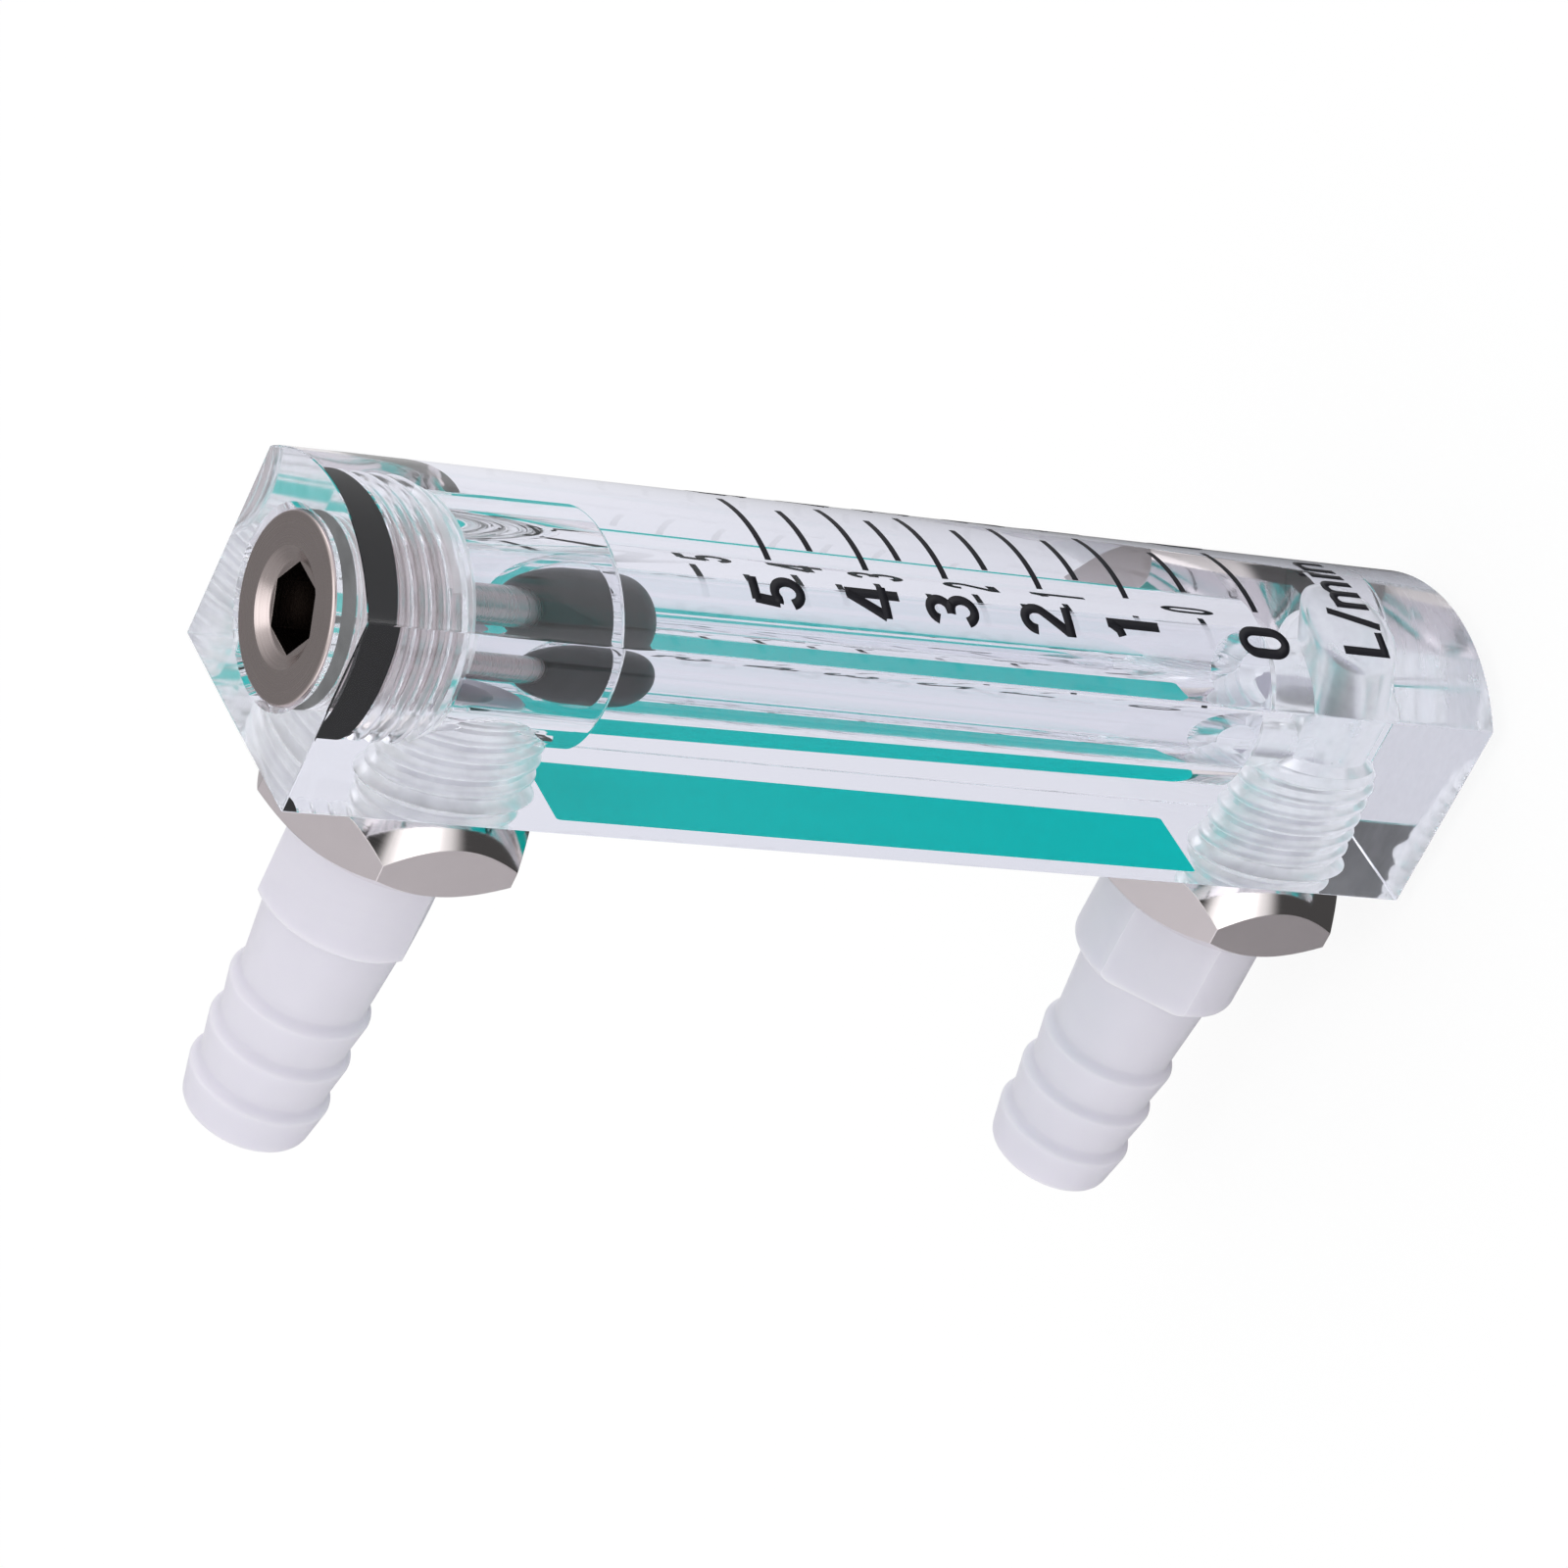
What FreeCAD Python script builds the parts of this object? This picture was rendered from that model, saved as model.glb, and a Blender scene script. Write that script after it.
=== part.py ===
import FreeCAD, Part
import Sketcher
import math
import os

# Panel-mount oxygen flowmeter: a clear D-section block with a tapered metering bore,
# a hex-socket plug whose stem stops the float, and two hose fittings with panel nuts.
# Origin: on the flat back face, midway between the two port axes.
# +Z runs up the metering bore to the plug, +Y out of the back face along the fittings.

doc = FreeCAD.newDocument("OxygenFlowmeter")
dims = doc.addObject("Spreadsheet::Sheet", "Dims")

SIZES = [
    # clear block
    ("NutMargin", 0.3, "each flat side stands this far outside the nuts' flats"),
    ("SideDepth", 14.5, "depth of each flat side, from the back face"),
    ("CrownRise", 3.25, "rise of the curved front over the side edges"),
    ("TopMargin", 13.2, "top end to the upper port axis"),
    ("PortSpacing", 63.2, "distance between the port axes"),
    ("BottomMargin", 8.6, "lower port axis to the bottom end"),
    ("BoreDepth", 8.8, "back face to the bore axis"),
    # bore, depths from the top end
    ("PlugThreadDepth", 9.2, "end of the tapped length"),
    ("ChamberRadius", 5.3, "tap-drilled chamber under the plug"),
    ("ShoulderDepth", 20.0, "floor of the chamber, where the taper starts"),
    ("TaperTopRadius", 4.1, "metering bore at the chamber"),
    ("TaperEndRadius", 3.64, "metering bore at the float seat"),
    ("ZeroDepth", 67.2, "widest section of the float at the zero mark"),
    ("SeatRadius", 1.9, "passage under the float seat"),
    ("DrillAngle", 118.0, "point angle of the drills"),
    ("MouthChamfer", 0.35, "chamfer at each thread mouth"),
    # ports, depths from the back face
    ("MouthDepth", 2.6, "recess that takes the end of the neck"),
    ("PortThreadDepth", 8.0, "end of the port thread"),
    ("PassageRadius", 3.5, "cross drilling"),
    ("PassageDepth", 13.0, "full-diameter depth of the cross drilling"),
    # plug
    ("PlugRadius", 6.0, "plug head and thread"),
    ("PlugChamfer", 0.3, "edge of the head"),
    ("ThreadChamfer", 0.6, "lead of each male thread"),
    ("GrooveTop", 1.3, "top end to the seal groove"),
    ("GrooveFloorRadius", 4.1, "floor of the seal groove"),
    ("SocketAcross", 5.0, "hexagon socket across flats"),
    ("SocketDepth", 4.6, "depth of the hexagon socket"),
    ("SinkRadius", 4.1, "turned mouth of the socket"),
    ("SinkDepth", 0.6, "depth of the turned mouth"),
    ("StemRadius", 1.7, "stem that stops the float"),
    ("StemTipDepth", 17.35, "top end of the block to the stem's tip"),
    ("StemChamfer", 0.25, "edge of the stem's tip"),
    # seal ring, as squeezed in its groove
    ("RingHeight", 2.55, "height along the bore"),
    ("RingEdge", 0.6, "rounding of its section"),
    # float
    ("FloatRadius", 3.6, "float, and its domed nose"),
    ("FloatBand", 1.7, "straight band over the dome"),
    ("FloatTopRound", 2.2, "rounding under its flat top"),
    # hose fitting, lengths from the back face
    ("NeckRadius", 5.95, "threaded neck that takes the nut"),
    ("NeckLength", 13.6, "neck outside the block"),
    ("NeckFlats", 10.05, "two flats on the neck"),
    ("UpperFlatsTurn", 52.0, "upper flats, turned about the port axis"),
    ("LowerFlatsTurn", 142.0, "lower flats, turned about the port axis"),
    ("PortThreadRadius", 5.0, "thread that screws into the block"),
    ("PortThreadLength", 5.0, "its reach under the back face, short of the float"),
    ("ShankRadius", 4.45, "shank between neck and first barb"),
    ("BarbRadius", 4.8, "edge of each barb"),
    ("RootRadius", 4.3, "root behind each barb"),
    ("BarbPitch", 3.6, "barb to barb"),
    ("BarbFace", 0.35, "length of the steep face of a barb"),
    ("FirstBarb", 20.7, "back face to the first barb's edge"),
    ("TipLength", 3.1, "last barb's edge to the tip"),
    ("TipRadius", 4.2, "tip"),
    ("TipRound", 1.1, "rounding of the tip"),
    ("HoseBore", 2.9, "radius of the way through"),
    # panel nut
    ("NutAcross", 16.8, "across flats, a 17 mm nut at its usual undersize"),
    ("NutThickness", 6.15, "thickness"),
    ("NutNearRadius", 6.6, "face towards the block, inside its cone"),
    ("NutNearAngle", 49.0, "cone on the block's side, from the face"),
    ("NutFarRadius", 7.9, "outer face, inside its chamfer"),
    ("NutFarAngle", 38.0, "chamfer on the outer side, from the face"),
    # fits
    ("ThreadFit", 0.06, "radial, male to female thread"),
    ("RingFit", 0.03, "seal ring to its groove"),
    ("PlugGap", 0.1, "plug to the upper fitting's thread, along the bore"),
    ("StopGap", 0.1, "stem to float at rest"),
    ("SeatGap", 0.06, "float to seat, and nut to back face"),
]
for row, (alias, value, note) in enumerate(SIZES, start=1):
    dims.set("A%d" % row, note)
    dims.set("B%d" % row, str(value))
    dims.setAlias("B%d" % row, alias)
doc.recompute()

# Places worked out from the sizes above.
TOP_END = "(Dims.PortSpacing / 2 + Dims.TopMargin)"
BOTTOM_END = "(-Dims.PortSpacing / 2 - Dims.BottomMargin)"
BLOCK_LENGTH = "(Dims.TopMargin + Dims.PortSpacing + Dims.BottomMargin)"
BLOCK_WIDTH = "(Dims.NutAcross + 2 * Dims.NutMargin)"
CROWN_RADIUS = "((" + BLOCK_WIDTH + " ^ 2 / 4 + Dims.CrownRise ^ 2) / (2 * Dims.CrownRise))"
SEAT_DEPTH = ("(Dims.ZeroDepth + sqrt(Dims.FloatRadius ^ 2 - Dims.SeatRadius ^ 2)"
              " + Dims.SeatGap)")
SEAT_CONE = "((Dims.TaperEndRadius - Dims.SeatRadius) / tan(Dims.DrillAngle / 2 * 1deg))"
PLUG_LENGTH = "(Dims.TopMargin - Dims.PortThreadRadius - Dims.PlugGap)"
DRILL_TIP = "(Dims.PassageRadius / tan(Dims.DrillAngle / 2 * 1deg))"
NUT_CORNER = "(Dims.NutAcross / 2 / cos(30deg))"
FLOAT_TOP = "(Dims.FloatBand + Dims.FloatTopRound)"


def origin_plane(body, role):
    """Return one of the body's own origin planes by its role."""
    for feature in body.Origin.OriginFeatures:
        if feature.Role == role:
            return feature
    raise ValueError(role)


def number(owner, expression):
    """Work out an expression over the sheet as a plain number."""
    value = owner.evalExpression(expression)
    return float(getattr(value, "Value", value))


def new_body(label):
    body = doc.addObject("PartDesign::Body", label)
    body.Label = label
    return body


def new_sketch(body, name, role, offset=None):
    """Attach a sketch to an origin plane, moved along the plane's normal."""
    sketch = body.newObject("Sketcher::SketchObject", name)
    sketch.AttachmentSupport = [(origin_plane(body, role), "")]
    sketch.MapMode = "FlatFace"
    if offset:
        sketch.setExpression(".AttachmentOffset.Base.z", offset)
    doc.recompute()
    return sketch


def bind_point(sketch, index, end, across, along):
    """Tie one end of an edge to an x and a y given as expressions."""
    for kind, axis, expression in (("DistanceX", -2, across), ("DistanceY", -1, along)):
        if expression == "0":
            sketch.addConstraint(Sketcher.Constraint("PointOnObject", index, end, axis))
            continue
        size = number(sketch, expression)
        constraint = sketch.addConstraint(
            Sketcher.Constraint(kind, -1, 1, index, end, size))
        sketch.setExpression("Constraints[%d]" % constraint, expression)


def closed_profile(sketch, corners):
    """Draw a closed polygon whose corners are pairs of expressions."""
    points = [FreeCAD.Vector(number(sketch, x), number(sketch, y), 0) for x, y in corners]
    first = sketch.GeometryCount
    count = len(points)
    for i in range(count):
        sketch.addGeometry(Part.LineSegment(points[i], points[(i + 1) % count]), False)
    for i in range(count):
        sketch.addConstraint(Sketcher.Constraint(
            "Coincident", first + i, 2, first + (i + 1) % count, 1))
    for i, (across, along) in enumerate(corners):
        bind_point(sketch, first + i, 1, across, along)
    return first


def hexagon(sketch, across, point_axis):
    """Draw a regular hexagon with one corner on the given sketch axis."""
    radius = number(sketch, across) / 2 / math.cos(math.radians(30))
    turn = 0.0 if point_axis == -1 else 90.0
    corner = [FreeCAD.Vector(radius * math.cos(math.radians(turn + 60 * i)),
                             radius * math.sin(math.radians(turn + 60 * i)), 0)
              for i in range(6)]
    for i in range(6):
        sketch.addGeometry(Part.LineSegment(corner[i], corner[(i + 1) % 6]), False)
    circle = sketch.addGeometry(
        Part.Circle(FreeCAD.Vector(0, 0, 0), FreeCAD.Vector(0, 0, 1), radius), True)
    sketch.addConstraint(Sketcher.Constraint("Coincident", circle, 3, -1, 1))
    for i in range(6):
        sketch.addConstraint(Sketcher.Constraint("Coincident", i, 2, (i + 1) % 6, 1))
        sketch.addConstraint(Sketcher.Constraint("PointOnObject", i, 1, circle))
        if i:
            sketch.addConstraint(Sketcher.Constraint("Equal", 0, i))
    sketch.addConstraint(Sketcher.Constraint("PointOnObject", 0, 1, point_axis))
    size = sketch.addConstraint(Sketcher.Constraint("Radius", circle, radius))
    sketch.setExpression("Constraints[%d]" % size, across + " / 2 / cos(30deg)")


def revolve(body, name, sketch, cut=False):
    """Turn a profile a full turn about the sketch's vertical axis."""
    kind = "PartDesign::Groove" if cut else "PartDesign::Revolution"
    before = body.Shape.Volume if cut else 0.0
    feature = body.newObject(kind, name)
    feature.Profile = sketch
    feature.ReferenceAxis = (sketch, ["V_Axis"])
    feature.Angle = 360.0
    doc.recompute()
    if cut and not feature.Shape.Volume < before - 0.01:
        raise ValueError(name + " removes nothing")
    return feature


def pocket(body, name, sketch, depth=None, reverse=False):
    """Cut a profile to a depth, or right through both ways where none is given."""
    before = body.Shape.Volume
    feature = body.newObject("PartDesign::Pocket", name)
    feature.Profile = sketch
    if depth:
        feature.setExpression("Length", depth)
        feature.Reversed = reverse
    else:
        feature.Type = "ThroughAll"
        feature.Midplane = True
    doc.recompute()
    if not feature.Shape.Volume < before - 0.01:
        raise ValueError(name + " removes nothing")
    return feature


# Clear block: one flat back, two flat sides and a curved front that magnifies the bore.
flow_body = new_body("flow_body")
section = new_sketch(flow_body, "BlockSection", "XY_Plane", BOTTOM_END)
half = number(section, BLOCK_WIDTH + " / 2")
side = number(section, "Dims.SideDepth")
rise = number(section, "Dims.CrownRise")
radius = number(section, CROWN_RADIUS)
back_left = FreeCAD.Vector(-half, 0, 0)
back_right = FreeCAD.Vector(half, 0, 0)
front_right = FreeCAD.Vector(half, -side, 0)
front_left = FreeCAD.Vector(-half, -side, 0)
crown = FreeCAD.Vector(0, -side - rise, 0)
section.addGeometry(Part.LineSegment(back_left, back_right), False)
section.addGeometry(Part.LineSegment(back_right, front_right), False)
section.addGeometry(Part.LineSegment(front_left, back_left), False)
section.addGeometry(Part.Arc(front_left, crown, front_right), False)
section.addConstraint(Sketcher.Constraint("Coincident", 0, 2, 1, 1))
section.addConstraint(Sketcher.Constraint("Coincident", 2, 2, 0, 1))
section.addConstraint(Sketcher.Constraint("Coincident", 3, 1, 2, 1))
section.addConstraint(Sketcher.Constraint("Coincident", 3, 2, 1, 2))
section.addConstraint(Sketcher.Constraint("Horizontal", 0))
section.addConstraint(Sketcher.Constraint("Symmetric", 0, 1, 0, 2, -1, 1))
section.addConstraint(Sketcher.Constraint("Vertical", 1))
section.addConstraint(Sketcher.Constraint("Vertical", 2))
section.addConstraint(Sketcher.Constraint("Equal", 1, 2))
for geometry, kind, size, expression in (
        (0, "Distance", 2 * half, BLOCK_WIDTH),
        (1, "Distance", side, "Dims.SideDepth"),
        (3, "Radius", radius, CROWN_RADIUS)):
    constraint = section.addConstraint(Sketcher.Constraint(kind, geometry, size))
    section.setExpression("Constraints[%d]" % constraint, expression)
block = flow_body.newObject("PartDesign::Pad", "Block")
block.Profile = section
block.setExpression("Length", BLOCK_LENGTH)
doc.recompute()

# The plane's normal points to the front, so the offset puts the sketch on the bore axis.
bore_sketch = new_sketch(flow_body, "BoreProfile", "XZ_Plane", "Dims.BoreDepth")
plug_bore = "Dims.PlugRadius + Dims.ThreadFit"
closed_profile(bore_sketch, [
    ("0", TOP_END),
    (plug_bore + " + Dims.MouthChamfer", TOP_END),
    (plug_bore, TOP_END + " - Dims.MouthChamfer"),
    (plug_bore, TOP_END + " - Dims.PlugThreadDepth"),
    ("Dims.ChamberRadius",
     TOP_END + " - Dims.PlugThreadDepth - (" + plug_bore + " - Dims.ChamberRadius)"),
    ("Dims.ChamberRadius", TOP_END + " - Dims.ShoulderDepth"),
    ("Dims.TaperTopRadius", TOP_END + " - Dims.ShoulderDepth"),
    ("Dims.TaperEndRadius", TOP_END + " - " + SEAT_DEPTH + " + " + SEAT_CONE),
    ("Dims.SeatRadius", TOP_END + " - " + SEAT_DEPTH),
    ("Dims.SeatRadius", "-Dims.PortSpacing / 2"),
    ("0", "-Dims.PortSpacing / 2"),
])
revolve(flow_body, "MeteringBore", bore_sketch, cut=True)

# Upper port, turned about an axis square to the back face: a mouth for the neck, the
# tapped length and the cross drilling with its drill point.
port_sketch = new_sketch(flow_body, "PortProfile", "XY_Plane", "Dims.PortSpacing / 2")
port_mouth = "Dims.NeckRadius + Dims.ThreadFit"
port_thread = "Dims.PortThreadRadius + Dims.ThreadFit"
closed_profile(port_sketch, [
    ("0", "0"),
    (port_mouth + " + Dims.MouthChamfer", "0"),
    (port_mouth, "-Dims.MouthChamfer"),
    (port_mouth, "-Dims.MouthDepth"),
    (port_thread, "-Dims.MouthDepth"),
    (port_thread, "-Dims.PortThreadDepth"),
    ("Dims.PassageRadius",
     "-Dims.PortThreadDepth - (" + port_thread + " - Dims.PassageRadius)"),
    ("Dims.PassageRadius", "-Dims.PassageDepth"),
    ("0", "-Dims.PassageDepth - " + DRILL_TIP),
])
upper_port = revolve(flow_body, "UpperPort", port_sketch, cut=True)

# The lower port is the upper one mirrored about the plane midway between them.
before = flow_body.Shape.Volume
lower_port = flow_body.newObject("PartDesign::Mirrored", "LowerPort")
lower_port.Originals = [upper_port]
lower_port.MirrorPlane = (origin_plane(flow_body, "XY_Plane"), [""])
flow_body.Tip = lower_port
doc.recompute()
if not flow_body.Shape.Volume < before - 0.01:
    raise ValueError("LowerPort removes nothing")

# Top plug: turned with its stop stem in one piece. Its sketch stands on the bore axis.
top_plug = new_body("top_plug")
plug_sketch = new_sketch(top_plug, "PlugProfile", "XZ_Plane", "Dims.BoreDepth")
socket_corner = "Dims.SocketAcross / 2 / cos(30deg)"
groove_bottom = "Dims.GrooveTop + Dims.RingHeight + 2 * Dims.RingFit"
closed_profile(plug_sketch, [
    ("0", TOP_END + " - Dims.SinkDepth"),
    (socket_corner, TOP_END + " - Dims.SinkDepth"),
    ("Dims.SinkRadius", TOP_END),
    ("Dims.PlugRadius - Dims.PlugChamfer", TOP_END),
    ("Dims.PlugRadius", TOP_END + " - Dims.PlugChamfer"),
    ("Dims.PlugRadius", TOP_END + " - Dims.GrooveTop"),
    ("Dims.GrooveFloorRadius", TOP_END + " - Dims.GrooveTop"),
    ("Dims.GrooveFloorRadius", TOP_END + " - (" + groove_bottom + ")"),
    ("Dims.PlugRadius", TOP_END + " - (" + groove_bottom + ")"),
    ("Dims.PlugRadius", TOP_END + " - " + PLUG_LENGTH + " + Dims.ThreadChamfer"),
    ("Dims.PlugRadius - Dims.ThreadChamfer", TOP_END + " - " + PLUG_LENGTH),
    ("Dims.StemRadius", TOP_END + " - " + PLUG_LENGTH),
    ("Dims.StemRadius", TOP_END + " - Dims.StemTipDepth + Dims.StemChamfer"),
    ("Dims.StemRadius - Dims.StemChamfer", TOP_END + " - Dims.StemTipDepth"),
    ("0", TOP_END + " - Dims.StemTipDepth"),
])
revolve(top_plug, "PlugTurned", plug_sketch)
socket_sketch = new_sketch(top_plug, "SocketSection", "XY_Plane",
                           TOP_END + " - Dims.SinkDepth")
socket_sketch.setExpression(".AttachmentOffset.Base.y", "-Dims.BoreDepth")
doc.recompute()
hexagon(socket_sketch, "Dims.SocketAcross", -1)
pocket(top_plug, "HexSocket", socket_sketch, "Dims.SocketDepth - Dims.SinkDepth")

# Seal ring, squeezed between the groove's floor and the bore's wall.
plug_o_ring = new_body("plug_o_ring")
ring_sketch = new_sketch(plug_o_ring, "RingSection", "XZ_Plane", "Dims.BoreDepth")
ring_inner = "Dims.GrooveFloorRadius + Dims.RingFit"
ring_outer = "Dims.PlugRadius + Dims.ThreadFit - Dims.RingFit"
ring_top = TOP_END + " - Dims.GrooveTop - Dims.RingFit"
closed_profile(ring_sketch, [
    (ring_inner, ring_top),
    (ring_outer, ring_top),
    (ring_outer, ring_top + " - Dims.RingHeight"),
    (ring_inner, ring_top + " - Dims.RingHeight"),
])
ring = revolve(plug_o_ring, "RingTurned", ring_sketch)
ring_edges = ["Edge%d" % (i + 1) for i, edge in enumerate(ring.Shape.Edges)
              if isinstance(edge.Curve, Part.Circle)]
ring_round = plug_o_ring.newObject("PartDesign::Fillet", "RingRounding")
ring_round.Base = (ring, ring_edges)
ring_round.setExpression("Radius", "Dims.RingEdge")
doc.recompute()

# Float: flat top, rounded shoulder, straight band and a domed nose of its full radius.
# Its origin is the centre of the dome, the section that is read against the scale.
metering_float = new_body("metering_float")
float_sketch = new_sketch(metering_float, "FloatProfile", "XZ_Plane")
fr = number(float_sketch, "Dims.FloatRadius")
band = number(float_sketch, "Dims.FloatBand")
top_round = number(float_sketch, "Dims.FloatTopRound")
crest = number(float_sketch, FLOAT_TOP)
nose = FreeCAD.Vector(0, -fr, 0)
waist = FreeCAD.Vector(fr, 0, 0)
band_top = FreeCAD.Vector(fr, band, 0)
rim = FreeCAD.Vector(fr - top_round, crest, 0)
middle = FreeCAD.Vector(0, crest, 0)
z_axis = FreeCAD.Vector(0, 0, 1)
dome_circle = Part.Circle(FreeCAD.Vector(0, 0, 0), z_axis, fr)
round_circle = Part.Circle(FreeCAD.Vector(fr - top_round, band, 0), z_axis, top_round)
float_sketch.addGeometry(Part.ArcOfCircle(dome_circle, -math.pi / 2, 0), False)
float_sketch.addGeometry(Part.LineSegment(waist, band_top), False)
float_sketch.addGeometry(Part.ArcOfCircle(round_circle, 0, math.pi / 2), False)
float_sketch.addGeometry(Part.LineSegment(rim, middle), False)
float_sketch.addGeometry(Part.LineSegment(middle, nose), False)
float_sketch.addConstraint(Sketcher.Constraint("Coincident", 0, 3, -1, 1))
float_sketch.addConstraint(Sketcher.Constraint("PointOnObject", 0, 1, -2))
float_sketch.addConstraint(Sketcher.Constraint("PointOnObject", 0, 2, -1))
float_sketch.addConstraint(Sketcher.Constraint("Coincident", 0, 2, 1, 1))
float_sketch.addConstraint(Sketcher.Constraint("Vertical", 1))
float_sketch.addConstraint(Sketcher.Constraint("Tangent", 1, 2, 2, 1))
float_sketch.addConstraint(Sketcher.Constraint("Tangent", 2, 2, 3, 1))
float_sketch.addConstraint(Sketcher.Constraint("Horizontal", 3))
float_sketch.addConstraint(Sketcher.Constraint("Coincident", 3, 2, 4, 1))
float_sketch.addConstraint(Sketcher.Constraint("Coincident", 4, 2, 0, 1))
float_sketch.addConstraint(Sketcher.Constraint("PointOnObject", 4, 1, -2))
for geometry, kind, size, expression in (
        (0, "Radius", fr, "Dims.FloatRadius"),
        (1, "Distance", band, "Dims.FloatBand"),
        (2, "Radius", top_round, "Dims.FloatTopRound")):
    constraint = float_sketch.addConstraint(Sketcher.Constraint(kind, geometry, size))
    float_sketch.setExpression("Constraints[%d]" % constraint, expression)
revolve(metering_float, "FloatTurned", float_sketch)
metering_float.setExpression(".Placement.Base.y", "-Dims.BoreDepth")
metering_float.setExpression(
    ".Placement.Base.z",
    TOP_END + " - Dims.StemTipDepth - Dims.StopGap - " + FLOAT_TOP)


def hose_fitting(label, side_sign, turn):
    """Moulded fitting: port thread, flatted neck for the nut, shank and three barbs."""
    body = new_body(label)
    sketch = new_sketch(body, label + "Profile", "XY_Plane")
    corners = [
        ("Dims.HoseBore", "-Dims.PortThreadLength"),
        ("Dims.PortThreadRadius - Dims.ThreadChamfer", "-Dims.PortThreadLength"),
        ("Dims.PortThreadRadius", "-Dims.PortThreadLength + Dims.ThreadChamfer"),
        ("Dims.PortThreadRadius", "-Dims.MouthDepth"),
        ("Dims.NeckRadius", "-Dims.MouthDepth"),
        ("Dims.NeckRadius", "Dims.NeckLength - Dims.ThreadChamfer"),
        ("Dims.NeckRadius - Dims.ThreadChamfer", "Dims.NeckLength"),
        ("Dims.ShankRadius", "Dims.NeckLength"),
        ("Dims.RootRadius", "Dims.FirstBarb - Dims.BarbFace"),
    ]
    for i in range(3):
        edge = "Dims.FirstBarb + %d * Dims.BarbPitch" % i
        corners.append(("Dims.BarbRadius", edge))
        if i < 2:
            corners.append(("Dims.RootRadius", edge + " + Dims.BarbPitch - Dims.BarbFace"))
    tip = "Dims.FirstBarb + 2 * Dims.BarbPitch + Dims.TipLength"
    corners.append(("Dims.TipRadius", tip + " - Dims.TipRound"))
    corners.append(("Dims.TipRadius - Dims.TipRound", tip))
    corners.append(("Dims.HoseBore", tip))
    closed_profile(sketch, corners)
    revolve(body, label + "Turned", sketch)
    flats = new_sketch(body, label + "FlatsSection", "XZ_Plane")
    inner = "Dims.NeckFlats / 2"
    outer = "Dims.NeckRadius + Dims.ThreadFit"
    closed_profile(flats, [(inner, "-(" + outer + ")"), (outer, "-(" + outer + ")"),
                           (outer, outer), (inner, outer)])
    closed_profile(flats, [("-" + inner, "-(" + outer + ")"), ("-" + inner, outer),
                           ("-(" + outer + ")", outer),
                           ("-(" + outer + ")", "-(" + outer + ")")])
    pocket(body, label + "Flats", flats)
    body.setExpression(".Placement.Base.z", side_sign + "Dims.PortSpacing / 2")
    body.Placement.Rotation = FreeCAD.Rotation(
        FreeCAD.Vector(0, 1, 0), -number(sketch, turn))
    return body


upper_barb = hose_fitting("upper_barb", "", "Dims.UpperFlatsTurn")
lower_barb = hose_fitting("lower_barb", "-", "Dims.LowerFlatsTurn")


def panel_nut(label, side_sign):
    """Hexagon nut, turned to a deep cone near the block and a chamfer on the far side."""
    body = new_body(label)
    sketch = new_sketch(body, label + "Section", "XZ_Plane")
    hexagon(sketch, "Dims.NutAcross", -2)
    pad = body.newObject("PartDesign::Pad", label + "Blank")
    pad.Profile = sketch
    pad.setExpression("Length", "Dims.NutThickness")
    pad.Reversed = True
    doc.recompute()
    cut = new_sketch(body, label + "TurnedProfile", "XY_Plane")
    corner = NUT_CORNER + " + Dims.ThreadFit"
    near = "(" + corner + " - Dims.NutNearRadius) * tan(Dims.NutNearAngle * 1deg)"
    far = "(" + corner + " - Dims.NutFarRadius) * tan(Dims.NutFarAngle * 1deg)"
    closed_profile(cut, [("Dims.NutNearRadius", "0"), (corner, "0"), (corner, near)])
    closed_profile(cut, [("Dims.NutFarRadius", "Dims.NutThickness"),
                         (corner, "Dims.NutThickness - " + far),
                         (corner, "Dims.NutThickness")])
    closed_profile(cut, [
        ("0", "0"),
        ("Dims.NeckRadius + Dims.ThreadFit + Dims.MouthChamfer", "0"),
        ("Dims.NeckRadius + Dims.ThreadFit", "Dims.MouthChamfer"),
        ("Dims.NeckRadius + Dims.ThreadFit", "Dims.NutThickness - Dims.MouthChamfer"),
        ("Dims.NeckRadius + Dims.ThreadFit + Dims.MouthChamfer", "Dims.NutThickness"),
        ("0", "Dims.NutThickness")])
    revolve(body, label + "Turned", cut, cut=True)
    body.setExpression(".Placement.Base.y", "Dims.SeatGap")
    body.setExpression(".Placement.Base.z", side_sign + "Dims.PortSpacing / 2")
    return body


upper_nut = panel_nut("upper_nut", "")
lower_nut = panel_nut("lower_nut", "-")

doc.recompute()
for item in doc.Objects:
    if "Invalid" in item.State or "Error" in item.State:
        raise ValueError(item.Label + " did not compute")

parts = [flow_body, top_plug, plug_o_ring, metering_float,
         upper_barb, lower_barb, upper_nut, lower_nut]
os.makedirs("parts", exist_ok=True)
for body in parts:
    shape = body.Shape
    if shape.isNull() or not shape.isValid() or len(shape.Solids) != 1:
        raise ValueError(body.Label + " is not one valid solid")
for body in parts:
    shape = body.Shape
    shape.exportStep(os.path.join("parts", body.Label + ".step"))
    box = shape.BoundBox
    print("%-15s volume %8.1f  x %6.2f..%6.2f  y %6.2f..%6.2f  z %6.2f..%6.2f" % (
        body.Label, shape.Volume, box.XMin, box.XMax, box.YMin, box.YMax,
        box.ZMin, box.ZMax))
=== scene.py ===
import bpy
import bmesh
from functools import reduce
from math import atan2, ceil, cos, pi, radians, sin, sqrt, tan
from mathutils import Matrix, Vector


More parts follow.
